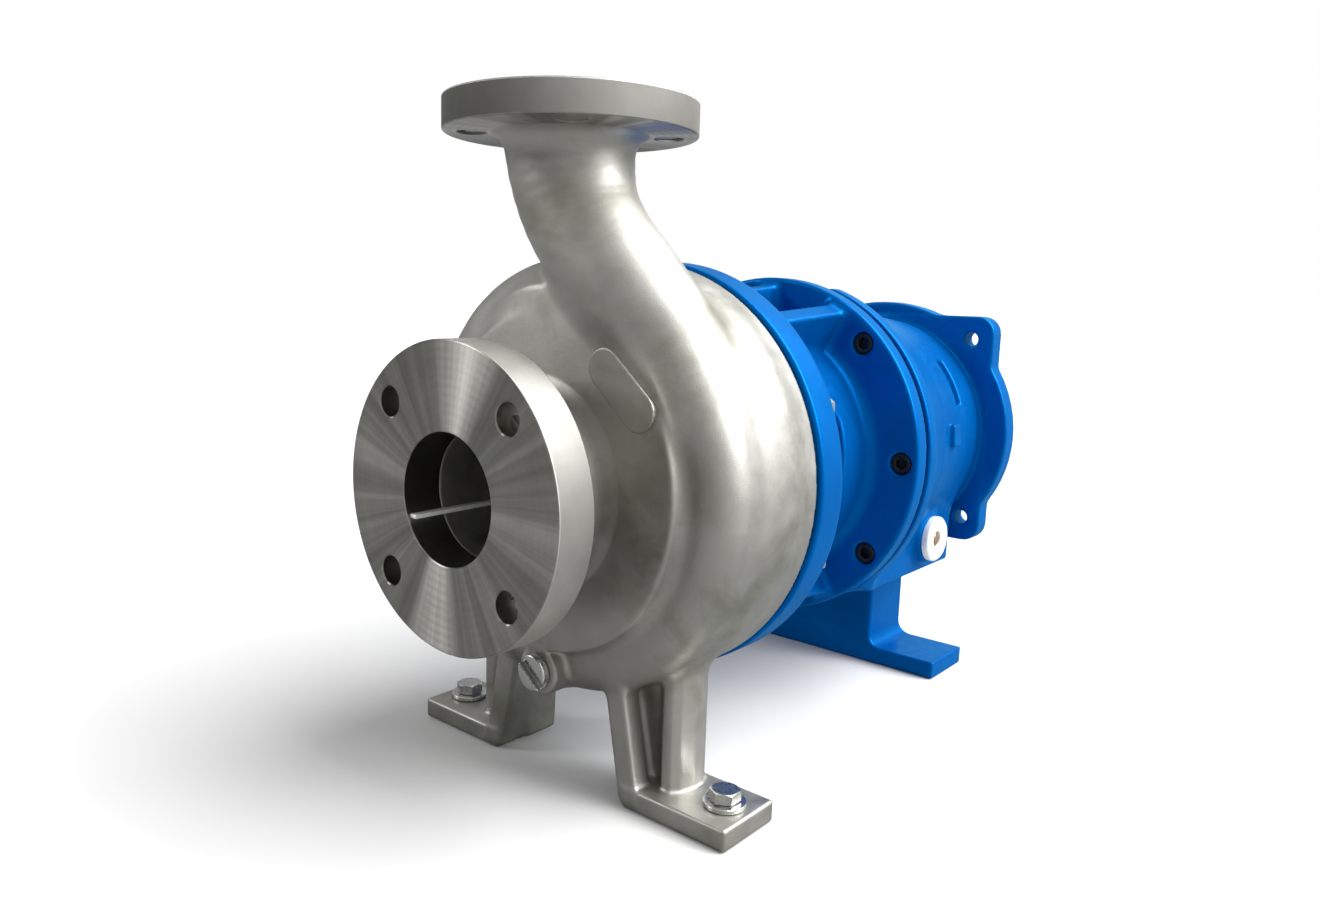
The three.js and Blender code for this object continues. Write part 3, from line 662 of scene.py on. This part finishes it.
def smooth_path(points, count):
    """Points spaced evenly along a Catmull-Rom curve through the given ones."""
    p = np.array(points, float)
    p = np.vstack([2 * p[0] - p[1], p, 2 * p[-1] - p[-2]])
    fine = []
    for i in range(1, len(p) - 2):
        for t in np.linspace(0, 1, 24, endpoint=False):
            a, b, c, d = p[i - 1:i + 3]
            fine.append(0.5 * (2 * b + (c - a) * t + (2 * a - 5 * b + 4 * c - d) * t ** 2
                               + (3 * b - a - 3 * c + d) * t ** 3))
    fine = np.array(fine + [p[-2]])
    travelled = np.concatenate([[0], np.cumsum(np.linalg.norm(np.diff(fine, axis=0), axis=1))])
    wanted = np.linspace(0, travelled[-1], count)
    return np.stack([np.interp(wanted, travelled, fine[:, k]) for k in range(fine.shape[1])], 1)


def volute(x, y, z):
    """The spiral passage: a round-fronted channel that grows all the way round to the neck."""
    angle = (np.degrees(np.arctan2(z, x)) - VOLUTE["first"]) % 360
    share = angle / VOLUTE["sweep"]
    past_neck = np.clip((angle - VOLUTE["sweep"] - 20) / (360 - VOLUTE["sweep"] - 20), 0, 1)
    share = np.where(angle < VOLUTE["sweep"] + 20, share, share * (1 - past_neck))
    radius = VOLUTE["thin"] + VOLUTE["growth"] * share
    front = VOLUTE["front"] + VOLUTE["drift"] * share
    across = np.hypot(x, z) - (VOLUTE["reach"] - radius)
    along = np.maximum(front - y, 0) + np.maximum(y - VOLUTE["rear"], 0)
    return np.hypot(across, along) - radius


def front_disc(x, y, z):
    """The casing's flat front. Its edge steps down to the volute, and slopes down past the neck."""
    hub = [(0, 20), (54, 20), (54, 66, 14), (72, 73.5, 6)]

    def step(edge):
        rim = [(edge - 1, 76.8, 1.6), (edge, 84, 2), (edge + 2, 100), (edge + 2, 115), (0, 115)]
        return revolved(rounded(hub + rim, 3))(x, y, z)

    def slope(edge):
        rim = [(edge, 79, 5), (143.5, 110, 10), (143.5, 130), (0, 130)]
        return revolved(rounded(hub + rim, 3))(x, y, z)

    stations = [(-200, step(112)), (14, step(112)), (40, step(119)), (68, step(125)), (93, slope(128)),
                (128, slope(109)), (160, step(112))]
    angle = (np.degrees(np.arctan2(z, x)) + 200) % 360 - 200
    value = 0
    for (first, start), (last, end) in zip(stations, stations[1:]):
        share = smooth_step((angle - first) / (last - first))
        value = value + np.where((angle >= first) & (angle < last), start * (1 - share) + end * share, 0)
    return value


def smooth_step(share):
    share = np.clip(share, 0, 1)
    return share * share * (3 - 2 * share)


def front_foot(casting, side):
    """One leg: a sloping front strip, a hollowed side, a round column behind and the foot plate."""
    f = FRONT_FOOT

    def mirrored(outline):
        return [(side * x, other) for x, other in outline]
    strip = [(f["inner"] - 3, FLOOR + 4), (f["inner"] + 13, FLOOR + 4), (f["inner"] - 6, FLOOR + 104),
             (f["inner"] - 22, FLOOR + 104)]
    column = rounded([(54, 150.8), (84, 150.8), (92, 145.5), (96, 136), (97, 127), (94, 116), (89, 110),
                      (83, 110), (78, 116), (72, 122), (54, 122)], 4)
    web = [(f["inner"] - 3, FLOOR + 4), (f["inner"] + 6, FLOOR + 4), (f["inner"] - 14, FLOOR + 104),
           (f["inner"] - 22, FLOOR + 104)]
    near = ((side * 30, side * 150) if side > 0 else (side * 150, side * 30), (60, 185), (FLOOR - 9, -60))
    casting.add(extruded(mirrored(strip), f["front"], f["front"] + 16, "y", 2.0), 7, near)
    casting.add(extruded(mirrored(web), f["front"] + 4, f["rear"] - 4, "y", 2.0), 6, near)
    casting.add(extruded(mirrored(column), FLOOR + 4, FLOOR + 120, "z", 1.0), 8, near)
    left, right = sorted([side * (f["inner"] + 0.3), side * f["outer"]])
    casting.add(block(left, right, f["front"], f["rear"], FLOOR, FLOOR + f["thickness"], 1.4), 3.5, near)
    middle = (f["front"] + f["rear"]) / 2
    casting.cut(rod(f["hole"], FLOOR - 5, FLOOR + 30, "z", side * f["hole_x"], middle), 0, near)


def casing_body():
    reach = RING["radius"]
    casting = Casting((-reach, 6, FLOOR), (reach, 183, DISCHARGE_TOP - 1), CASTING_PITCH)
    casting.add(front_disc, 0, (None, (0, 140), (-150, 150)))
    casting.add(volute, 11)
    casting.add(revolved(rounded([
        (0, 100), (118, 100), (CASING_RADIUS - 0.4, 128, 20), (CASING_RADIUS, 150, 4),
        (CASING_RADIUS, CASING_REAR, 1.2), (0, CASING_REAR)], 3)), 6)
    path = smooth_path(NECK, 26)
    near_neck = ((-60, 147), (40, 183), (-40, 250))
    casting.add(tube(path[:, :3], path[:, 3]), 8, near_neck)
    shoulder = smooth_path(SHOULDER, 14)
    casting.add(tube(shoulder[:, :3], shoulder[:, 3]), 13, near_neck)
    bottom = DISCHARGE_TOP - DISCHARGE["thickness"]
    near_flange = ((-90, 90), (10, 190), (150, 250))
    casting.add(rod(68, bottom + 1.5, DISCHARGE_TOP - 2, "z", 0, DISCHARGE_Y), 17, near_flange)
    casting.add(rod(70, 12, 26.5, "y"), 9, ((-100, 100), (0, 60), (-100, 100)))
    casting.add(rod(DRAIN["boss"], DRAIN["face"], 102, "y", 0, DRAIN["z"], 1.6), 5,
                ((-40, 40), (60, 120), (-160, -95)))
    for side in (-1, 1):
        front_foot(casting, side)
    bore = SUCTION["bore"]
    casting.cut(revolved([(0, -20), (bore + 2, -20), (bore + 2, 27), (bore, 28), (bore, 56), (38, 86.5),
                          (104, 88.5), (118, 104), (118, 200), (0, 200)]))
    casting.cut(tube(path[:, :3], path[:, 3] - 9), 0, near_neck)
    casting.cut(rod(DISCHARGE["bore"], bottom - 30, DISCHARGE_TOP + 20, "z", 0, DISCHARGE_Y), 0, near_flange)
    casting.cut(rod(DRAIN["hole"], 60, 96, "y", 0, DRAIN["z"]), 0, ((-20, 20), (50, 110), (-150, -100)))
    cast_piece("casing_body", casting, CAST, "volute_casing", "cast_stainless")


def casing_pad():
    """The raised oblong pad on the casing's front."""
    casting = Casting((40, PAD["front"] - 1, 38), (100, 84, 96), PAD_PITCH)
    casting.add(extruded(stadium(PAD["high"], PAD["low"], PAD["radius"]), PAD["front"], 83, "y", 0.9))
    cast_piece("casing_pad", casting, CAST, "volute_casing", "cast_stainless")


def flange(name, sizes, segments, material, face_axis, face_material, matrix=None):
    """A turned flange with its bolt holes drilled and its flat sides faced."""
    thickness = sizes["thickness"]
    disc = revolve(name, ring_profile(sizes["bore"], sizes["radius"], 0, thickness, 1.1), segments)
    tool = hole_tool(sizes["hole"], 0, thickness)
    tools = []
    for angle in FLANGE_ANGLES:
        x, z = around(sizes["bolt_circle"], angle)
        tools.append((tool, placed(x, 0, z)))
    made = piece(name, drilled(disc, tools), material, "stator", "volute_casing", slot="machined_stainless",
                 matrix=matrix)
    faced(made, face_axis, face_material)
    keep_flats(made)


def suction_flange():
    flange("suction_flange", SUCTION, 160, MACHINED_Y, 1, FACED_Y)


def discharge_flange():
    upright = placed(0, DISCHARGE_Y, DISCHARGE_TOP - DISCHARGE["thickness"], "z")
    flange("discharge_flange", DISCHARGE, 144, MACHINED_Z, 2, FACED_Z, upright)


def bore_rib():
    """A thin straightening rib along the suction bore's wall."""
    casting = Casting((-39.5, 2, -19), (-32, 71, -13), RIB_PITCH)
    casting.add(block(-39.2, -32.5, 3, 70, -17.5, -14.8, 0.6))
    piece("suction_bore_rib", casting.mesh("suction_bore_rib"), RIB_PAINTED_HIGHLIGHT, "stator", "volute_casing",
          slot="machined_stainless", sharp=0)


# ------- frame adapter

RIB_ANGLES = [90, 61, 119, -90, -61, -119]
CASING_BOLTS = [f"casing_bolt_{i}" for i in range(1, 9)]
ADAPTER_SCREWS = [f"adapter_screw_{i}" for i in range(1, 9)]
GLAND_BOLTS = [f"gland_bolt_{i}" for i in range(1, 5)]
GLAND = {"radius": 56, "front": 200.3, "rear": 211}


def frame_adapter():
    ring, drum, flange = RING, DRUM, ADAPTER_FLANGE
    casting = Casting((-147, ring["front"], -147), (147, flange["rear"], 147), CASTING_PITCH)
    casting.add(revolved(rounded([
        (drum["inner"], 192), (ring["recess"], 192), (ring["recess"], ring["front"]),
        (ring["radius"], ring["front"], 1.5), (ring["radius"], ring["rear"], 2.5),
        (drum["outer"], ring["rear"], 10), (drum["outer"], flange["front"], 11),
        (flange["radius"], flange["front"], 2.0), (flange["radius"], flange["rear"], 1.2),
        (drum["inner"], flange["rear"])], 0)))
    for angle in RIB_ANGLES:
        side = [(drum["outer"] - 5, ring["rear"] - 3), (121, ring["rear"] - 3), (133, flange["front"] + 3),
                (drum["outer"] - 5, flange["front"] + 3)]
        casting.add(turned_by(extruded(side, -7.5, 7.5, "z", 2.5), angle), 8)
    for left, right in ((-125, -60), (60, 125)):
        casting.cut(block(left, right, 230, 300, -38, 38, 8), 3)
    for node in CASING_BOLTS:
        x, _, z = centre(node)
        casting.cut(rod(4.4, ring["front"] - 5, ring["rear"] + 5, "y", x, z))
    for node in ADAPTER_SCREWS:
        x, _, z = centre(node)
        casting.cut(rod(8.6, flange["front"] - 8, flange["front"] + 10, "y", x, z), 1.5)
    cast_piece("frame_adapter_body", casting, PAINT, "frame_adapter", "blue_paint")


# ------- bearing housing

MOTOR_HOLES = [(89, 89), (-89, 89), (92, -78), (-92, -78)]
OIL_Y = 440.0
# The small raised square, at an angle about the shaft
SQUARE = {"angle": 5, "y": 459, "width": 222 * math.sin(math.radians(5)), "face": 118.6}


def bearing_housing():
    h, m, s = HOUSING, MOTOR_FLANGE, SUMP
    casting = Casting((-139, 349, -130), (139, LENGTH, 131), CASTING_PITCH)
    casting.add(revolved(rounded([
        (0, 350), (DRUM["inner"] - 0.4, 350), (DRUM["inner"] - 0.4, h["front"]),
        (h["radius"], h["front"], 1.2), (h["radius"], 373, 3), (130, 379, 6), (116, 440, 30), (110, 487, 30),
        (104, 545), (0, 545)], 0)))
    wide, low = s["half_width"], -s["bottom"]
    casting.add(extruded([(-wide, low), (wide, low), (wide, -20), (-wide, -20)], 366, s["rear"], "y", 9), 12)
    casting.add(rod(22, 70, 97, "x", 468, -85, 1.5), 7)
    casting.add(rod(14, 80, 124, "z", 0, OIL_Y, 1.0), 7)
    casting.add(rod(14, -121, -80, "z", 0, OIL_Y, 1.0), 5)
    q = SQUARE
    across = q["width"] / 2
    square = block(100, q["face"], q["y"] - 7, q["y"] + 7, -across, across, 1.5)
    casting.add(turned_by(square, q["angle"]), 2)
    corner, trim = m["corner"], m["trim"]
    lower = corner - 10
    lugs = rounded([(-corner, corner, trim), (corner, corner, trim), (corner, -lower, trim),
                    (-corner, -lower, trim)], trim)
    casting.add(extruded(lugs, m["front"], LENGTH, "y", 2.0), 5)
    oval = [(m["radius"] * math.cos(a), m["half_height"] * math.sin(a))
            for a in np.linspace(0, 2 * math.pi, 72, endpoint=False)]
    casting.add(extruded(oval, m["front"], LENGTH, "y", 2.0), 2)
    slot = revolved(rounded([(104.5, 480), (126, 480), (126, 494), (104.5, 494)], 2))

    def curved_slot(x, y, z):
        angle = np.degrees(np.arctan2(z, x))
        ends = (np.abs(angle - 29) - 11) * math.radians(1) * 110
        return np.maximum(slot(x, y, z), ends)

    casting.cut(curved_slot, 2.5)
    casting.cut(revolved([
        (0, 340), (45.2, 340), (45.2, 395), (96, 395), (96, 466), (45.2, 470), (45.2, h["web_rear"]),
        (m["recess"], h["web_rear"]), (m["recess"], 555), (m["pilot"], 555), (m["pilot"], 580), (0, 580)]))
    casting.cut(block(-80, 80, 395, 492, -101, -60, 2))
    casting.cut(rod(14, 60, 110, "x", 468, -85))
    for x, z in MOTOR_HOLES:
        casting.cut(rod(6.5, m["front"] - 5, LENGTH + 5, "y", x, z), 1.0)
    cast_piece("bearing_housing_body", casting, PAINT, "bearing_housing", "blue_paint")


def support_foot():
    """A leg with a hollow back on a wide plate, with cast fillets where they meet."""
    low, high = low_high("support_foot")
    outer, front, rear, top = high[0], low[1], high[1], high[2]
    casting = Casting(low, high, CASTING_PITCH * 0.75)
    casting.add(block(-outer, outer, front, rear, FLOOR, FLOOR + 14.8, 1.6))
    casting.add(block(-50, 50, front + 0.4, rear - 0.4, FLOOR + 3, top, 2.5), 13)
    casting.cut(block(-38, 38, front + 13, rear + 20, FLOOR + 16, top - 12, 5), 2)
    cast_piece("support_foot_body", casting, PAINT, "support_foot", "blue_paint")


# ------- fasteners and small parts


def hex_head(across_flats, height, shank, length):
    """A hexagon head with its corners chamfered, above a plain shank along -Y."""
    flat = across_flats / 2
    washer_face = 0.5

    def profile(angle):
        turn = (math.degrees(angle) + 30) % 60 - 30
        corner = flat / math.cos(math.radians(turn))
        drop = (corner - flat * 0.97) * math.tan(math.radians(30))
        return [(0, height), (flat * 0.9, height), (flat * 0.97, height), (corner, height - drop),
                (corner, washer_face + drop * 0.3), (flat * 0.96, washer_face), (flat * 0.94, 0),
                (shank, 0), (shank, -length + 1), (shank - 1, -length), (0, -length)]
    return revolve("hex_head", profile, 72)


def socket_head(radius, height, shank, length):
    """A cap screw facing -Y, with a hexagon socket and a knurled side."""
    socket = radius * 0.5

    def profile(angle):
        turn = (math.degrees(angle) + 30) % 60 - 30
        hexagon = socket / math.cos(math.radians(turn))
        knurl = radius - 0.12 * (1 + math.cos(angle * 36))
        return [(0, height * 0.6), (hexagon, height * 0.6), (hexagon, 0.5), (hexagon + 0.5, 0),
                (radius - 1, 0), (radius, 1), (knurl, 1.6), (knurl, height), (shank, height),
                (shank, height + length), (0, height + length)]
    return revolve("socket_head", profile, 144)


M8_HEAD = {"across_flats": 13, "height": 6, "shank": 4}
FOOT_BOLT = {"across_flats": 18, "height": 7.5, "shank": 5, "length": 17}
WASHER = {"hole": 5.6, "radius": 14.0, "thickness": 3.0}
CLEARANCE = 0.3


def zinc_piece(name, mesh, node, matrix, sharp=35):
    return piece(name, mesh, ZINC, "stator", node, slot="zinc_steel", sharp=sharp, matrix=matrix)


def hex_bolts(nodes, length, seat):
    """Hexagon bolts with their heads on a face's rear."""
    for node in nodes:
        x, _, z = centre(node)
        zinc_piece(f"{node}_hex", hex_head(**M8_HEAD, length=length), node, placed(x, seat + CLEARANCE, z))


def adapter_screws():
    for node in ADAPTER_SCREWS:
        x, _, z = centre(node)
        piece(f"{node}_cap", socket_head(8, 9, 5, 20), BLACK, "stator", node, slot="black_oxide",
              matrix=placed(x, ADAPTER_FLANGE["front"] + 0.8, z))


def foot_fasteners(side):
    """One front foot's bolt and washer, and the support foot's screw on the same side."""
    bolt, washer, screw = f"foot_bolt_{side}", f"foot_washer_{side}", f"foot_screw_{side}"
    w, length = WASHER, 23
    x, y, _ = centre(bolt)
    low = low_high(washer)[0][2]
    ring = ring_profile(w["hole"], w["radius"], 0, w["thickness"], 0.6)
    zinc_piece(f"{washer}_ring", revolve("washer", ring, 64), washer, placed(x, y, low, "z"))
    seat = low + w["thickness"] + CLEARANCE
    zinc_piece(f"{bolt}_hex", hex_head(**FOOT_BOLT), bolt, placed(x, y, seat, "z"))
    x, y, _ = centre(screw)
    top = low_high(screw)[1][2]
    zinc_piece(f"{screw}_hex", hex_head(**M8_HEAD, length=length), screw, placed(x, y, top - length, "-z"))


def drain_plug():
    """A turned plug with a wide screwdriver slot across its face."""
    name, node = "casing_drain_plug_head", "casing_drain_plug"
    front = low_high(node)[0][1]
    casting = Casting((-14, front, -14), (14, 94, 14), 0.5)
    casting.add(rod(DRAIN["head"], front, DRAIN["face"] - 0.1, "y", 0, 0, 1.2))
    casting.add(rod(8, 76, 93, "y"))
    casting.cut(turned_by(block(-20, 20, front - 8, front + 4.5, -3.75, 3.75, 0.3), -40), 0.6)
    zinc_piece(name, casting.mesh(name), node, placed(0, 0, DRAIN["z"]), 40)


def oil_fittings():
    fill, drain = low_high("oil_fill_plug"), low_high("oil_drain_plug")
    zinc_piece("oil_fill_plug_hex", hex_head(19, 6, 8, 16), "oil_fill_plug",
               placed(0, OIL_Y, fill[1][2] - 6, "z"))
    zinc_piece("oil_drain_plug_hex", hex_head(19, 7, 8, 14), "oil_drain_plug",
               placed(0, OIL_Y, drain[0][2] + 7, "-z"))
    _, y, z = centre("sight_glass_body")
    base = 97.3
    body = rounded([(11, -12), (13.2, -12), (13.2, 0), (20, 0), (20, 5, 2), (17.5, 7, 1), (7.2, 5.4, 1),
                    (6.6, 3.5), (11, 3)], 0.4)
    piece("sight_glass_reflector", revolve("reflector", body, 72), ENAMEL, "stator", "sight_glass_body",
          slot="zinc_steel", matrix=placed(base, y, z, "x"))
    lens = rounded([(0, 2.2), (6.4, 2.2), (6.4, 4.4), (4.5, 5.4, 2), (0, 5.8)], 0.4)
    piece("sight_glass_window", revolve("window", lens, 64), OIL_GLASS, "stator", "sight_glass_lens",
          slot="sight_glass", matrix=placed(base, y, z, "x"))


def ring_piece(name, node, inner, outer, front, rear, material, body, slot, edge=0.6):
    mesh = revolve(name, ring_profile(inner, outer, front, rear, edge), 128)
    keep_flats(piece(name, mesh, material, body, node, slot=slot))


def joint_and_gasket():
    ring_piece("joint_ring_black", "joint_ring", 96, 134.6, 353.8, 360.7, RUBBER, "stator", "black_rubber")
    ring_piece("casing_gasket_ring", "casing_gasket", 119, 129.5, 181.3, 182.7, RUBBER, "stator",
               "black_rubber", 0.3)


def seal_and_gland():
    radius, front, rear = GLAND["radius"], GLAND["front"], GLAND["rear"]
    gland = rounded([(22, 204), (30.3, 204), (30.3, 194), (33.7, 194), (33.7, front), (radius, front),
                     (radius, rear, 1.5), (26, rear, 1), (22, rear - 2, 1)], 0.4)
    tool = hole_tool(4.4, front, rear, 0.4, 24)
    bolts = [centre(node) for node in GLAND_BOLTS]
    mesh = drilled(revolve("gland", gland, 96), [(tool, placed(x, 0, z)) for x, _, z in bolts])
    keep_flats(piece("gland_plate_turned", mesh, MACHINED_Y, "stator", "gland_plate",
                     slot="machined_stainless"))
    for node, body, *sizes in [("shaft_sleeve", "rotor", 16.3, 20, 131, 240),
                               ("seal_collar", "rotor", 20.3, 29, 148, 160),
                               ("seal_seat", "stator", 21.5, 30, 190.3, 203.7)]:
        ring_piece(f"{node}_turned", node, *sizes, MACHINED_Y, body, "machined_stainless")
    cover = rounded([(21, 132), (60, 132, 4), (110, 145, 8), (117.5, 153, 2), (117.5, 183), (130, 183),
                     (130, 191.7, 1), (66, 191.7, 3), (60, 200, 2), (34, 200), (34, 145), (21, 145)], 0.5)
    piece("casing_cover_turned", revolve("cover", cover, 128), CAST, "stator", "casing_cover",
          slot="cast_stainless")


def shaft_and_hub():
    shaft = rounded([(0, 100), (12, 100, 1), (12, 128), (16, 128), (16, 241), (20, 241, 1), (20, 395),
                     (24, 395, 1), (24, 474, 1), (20, 474), (20, 497, 1), (16, 497), (16, 548, 1.2),
                     (0, 548)], 0)
    mesh = revolve("shaft", shaft, 64)
    casting = Casting((-33, 513, -33), (33, 557, 33), 0.6)
    casting.add(rod(32, 514, 542, "y", 0, 0, 1.2))
    for angle in (90, 210, 330):
        casting.add(turned_by(block(14.5, 36, 538, 556, -9, 9, 1.0), angle), 0.8)
    casting.cut(lambda x, y, z: 32 - np.hypot(x, z) + 0 * y, 0)
    casting.cut(rod(16.3, 500, 570, "y"), 0.6)
    casting.cut(block(-5, 5, 500, 570, 10, 19))
    piece("coupling_hub_turned", casting.mesh("coupling_hub"), ZINC, "rotor", "coupling_hub",
          slot="zinc_steel", sharp=40)
    keyway = bpy.data.meshes.new("keyway")
    edit = bmesh.new()
    size = Matrix.Diagonal(Vector((10, 28.6, 18)) * MM).to_4x4()
    bmesh.ops.create_cube(edit, size=1, matrix=placed(0, 532, 21) @ size)
    edit.to_mesh(keyway)
    edit.free()
    keep_flats(piece("shaft_turned", drilled(mesh, [(keyway, Matrix.Identity(4))]), MACHINED_Y, "rotor",
                     "shaft", slot="machined_stainless"))


def inner_nodes():
    """Pieces that stay as their CAD solids, out of sight, with real finishes."""
    finishes = [
        (CAST, "impeller"), (CARBON, "seal_ring"), (RUBBER, "front_lip_seal rear_lip_seal"),
        (MACHINED_Y, "oil_flinger front_bearing_cover rear_bearing_cover"),
        (BEARING, "front_outer_race front_inner_race front_ball_set rear_outer_race rear_inner_race"
                  " rear_ball_set seal_spring coupling_key retaining_ring")]
    for material, nodes in finishes:
        for node in nodes.split():
            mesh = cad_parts[node].data
            mesh.materials.clear()
            mesh.materials.append(material)


# ------- studio


def camera():
    """The photograph's viewpoint, in metres from the suction face and the floor."""
    place = Vector((0.46095, SUCTION_FACE - 0.36964, 0.33449))
    yaw, pitch, roll = (math.radians(a) for a in (41.1, -8.97, 1.46))
    forward = Vector((-math.sin(yaw) * math.cos(pitch), math.cos(yaw) * math.cos(pitch), math.sin(pitch)))
    level = Vector((math.cos(yaw), math.sin(yaw), 0))
    up = level.cross(forward)
    right = math.cos(roll) * level + math.sin(roll) * up
    tilted = math.cos(roll) * up - math.sin(roll) * level
    data = bpy.data.cameras.new("camera")
    data.sensor_width = 36.0
    data.lens = 27.36
    data.shift_x = 0.0284
    data.shift_y = -0.0004
    made = linked("camera", data)
    made.matrix_world = Matrix.Translation(place) @ Matrix((right, tilted, -forward)).transposed().to_4x4()
    bpy.context.scene.camera = made


def far_light(name, direction, strength, spread):
    """A soft light so far away that it falls evenly on the floor. The direction points towards it."""
    data = bpy.data.lights.new(name, "SUN")
    data.energy = strength
    data.angle = math.radians(spread)
    made = linked(name, data)
    made.rotation_mode = "QUATERNION"
    made.rotation_quaternion = (-Vector(direction)).to_track_quat("-Z", "Y")
    made.location = Vector(direction) * 3


def eased(nodes, start, end, first, last):
    """A node that turns a value from start to end smoothly into one from first to last."""
    made = nodes.new("ShaderNodeMapRange")
    made.interpolation_type = "SMOOTHSTEP"
    for key, value in {"From Min": start, "From Max": end, "To Min": first, "To Max": last}.items():
        made.inputs[key].default_value = value
    return made


def surroundings():
    """A pale room that is dark low down on the front left, which the machined faces mirror."""
    world = bpy.data.worlds.new("studio")
    world.use_nodes = True
    nodes, links = world.node_tree.nodes, world.node_tree.links
    background = nodes["Background"]
    place = nodes.new("ShaderNodeTexCoord")
    facing = nodes.new("ShaderNodeVectorMath")
    facing.operation = "DOT_PRODUCT"
    facing.inputs[1].default_value = Vector((-0.6, -0.62, -0.5)).normalized()
    links.new(place.outputs["Generated"], facing.inputs[0])
    shade = eased(nodes, -0.1, 0.5, 0.68, 0.13)
    links.new(facing.outputs["Value"], shade.inputs["Value"])
    windows = nodes.new("ShaderNodeTexNoise")
    windows.inputs["Scale"].default_value = 2.6
    windows.inputs["Detail"].default_value = 1.0
    links.new(place.outputs["Generated"], windows.inputs["Vector"])
    contrast = eased(nodes, 0.4, 0.6, 0.35, 1.6)
    links.new(windows.outputs["Fac"], contrast.inputs["Value"])
    room = nodes.new("ShaderNodeMath")
    room.operation = "MULTIPLY"
    links.new(shade.outputs["Result"], room.inputs[0])
    links.new(contrast.outputs["Result"], room.inputs[1])
    seen = nodes.new("ShaderNodeLightPath")
    choose = nodes.new("ShaderNodeMix")
    choose.inputs["B"].default_value = 1.0
    links.new(seen.outputs["Is Camera Ray"], choose.inputs["Factor"])
    links.new(room.outputs["Value"], choose.inputs["A"])
    links.new(choose.outputs["Result"], background.inputs["Strength"])
    background.inputs["Color"].default_value = (1, 1, 1, 1)
    bpy.context.scene.world = world


def studio():
    far_light("key", (0.5, 0.37, 0.77), 5.4, 55)
    far_light("right", (0.84, 0.34, 0.42), 1.7, 30)
    far_light("front", (-0.65, -0.62, 0.42), 0.9, 14)
    surroundings()
    mesh = bpy.data.meshes.new("floor")
    half, low = 60.0, cad_box[0].z - 0.0005
    mesh.from_pydata([(-half, -half, low), (half, -half, low), (half, half, low), (-half, half, low)], [],
                     [(0, 1, 2, 3)])
    floor = linked("floor", mesh)
    made = Finish("pale_floor", Roughness=0.8, Specular_IOR_Level=0.2)
    pale = made.ramp(made.noise(1.5, 2), [(0.0, (0.60, 0.60, 0.60)), (1.0, (0.63, 0.63, 0.63))], None)
    # Painted reflection shade: glossy rays see the floor at about a third of its brightness, so the metal
    # mirrors a darker floor than the camera sees.
    mirrored = made.ramp(made.noise(1.5, 2), [(0.0, (0.20, 0.20, 0.20)), (1.0, (0.23, 0.23, 0.23))], None)
    floor_painted_reflection_shade = made.mix(pale, mirrored, 0.0, "MIX")
    glossy = made.node("LightPath").outputs["Is Glossy Ray"]
    made.link(glossy, floor_painted_reflection_shade.node.inputs["Factor"])
    made.link(floor_painted_reflection_shade, made.shader.inputs["Base Color"])
    mesh.materials.append(made.material)
    bpy.context.scene.view_settings.view_transform = "Standard"


camera()
casing_body()
casing_pad()
suction_flange()
discharge_flange()
bore_rib()
frame_adapter()
bearing_housing()
support_foot()
hex_bolts(CASING_BOLTS, 46, RING["rear"])
adapter_screws()
hex_bolts(GLAND_BOLTS, 26, GLAND["rear"])
for foot_side in ("left", "right"):
    foot_fasteners(foot_side)
drain_plug()
oil_fittings()
joint_and_gasket()
seal_and_gland()
shaft_and_hub()
inner_nodes()
studio()
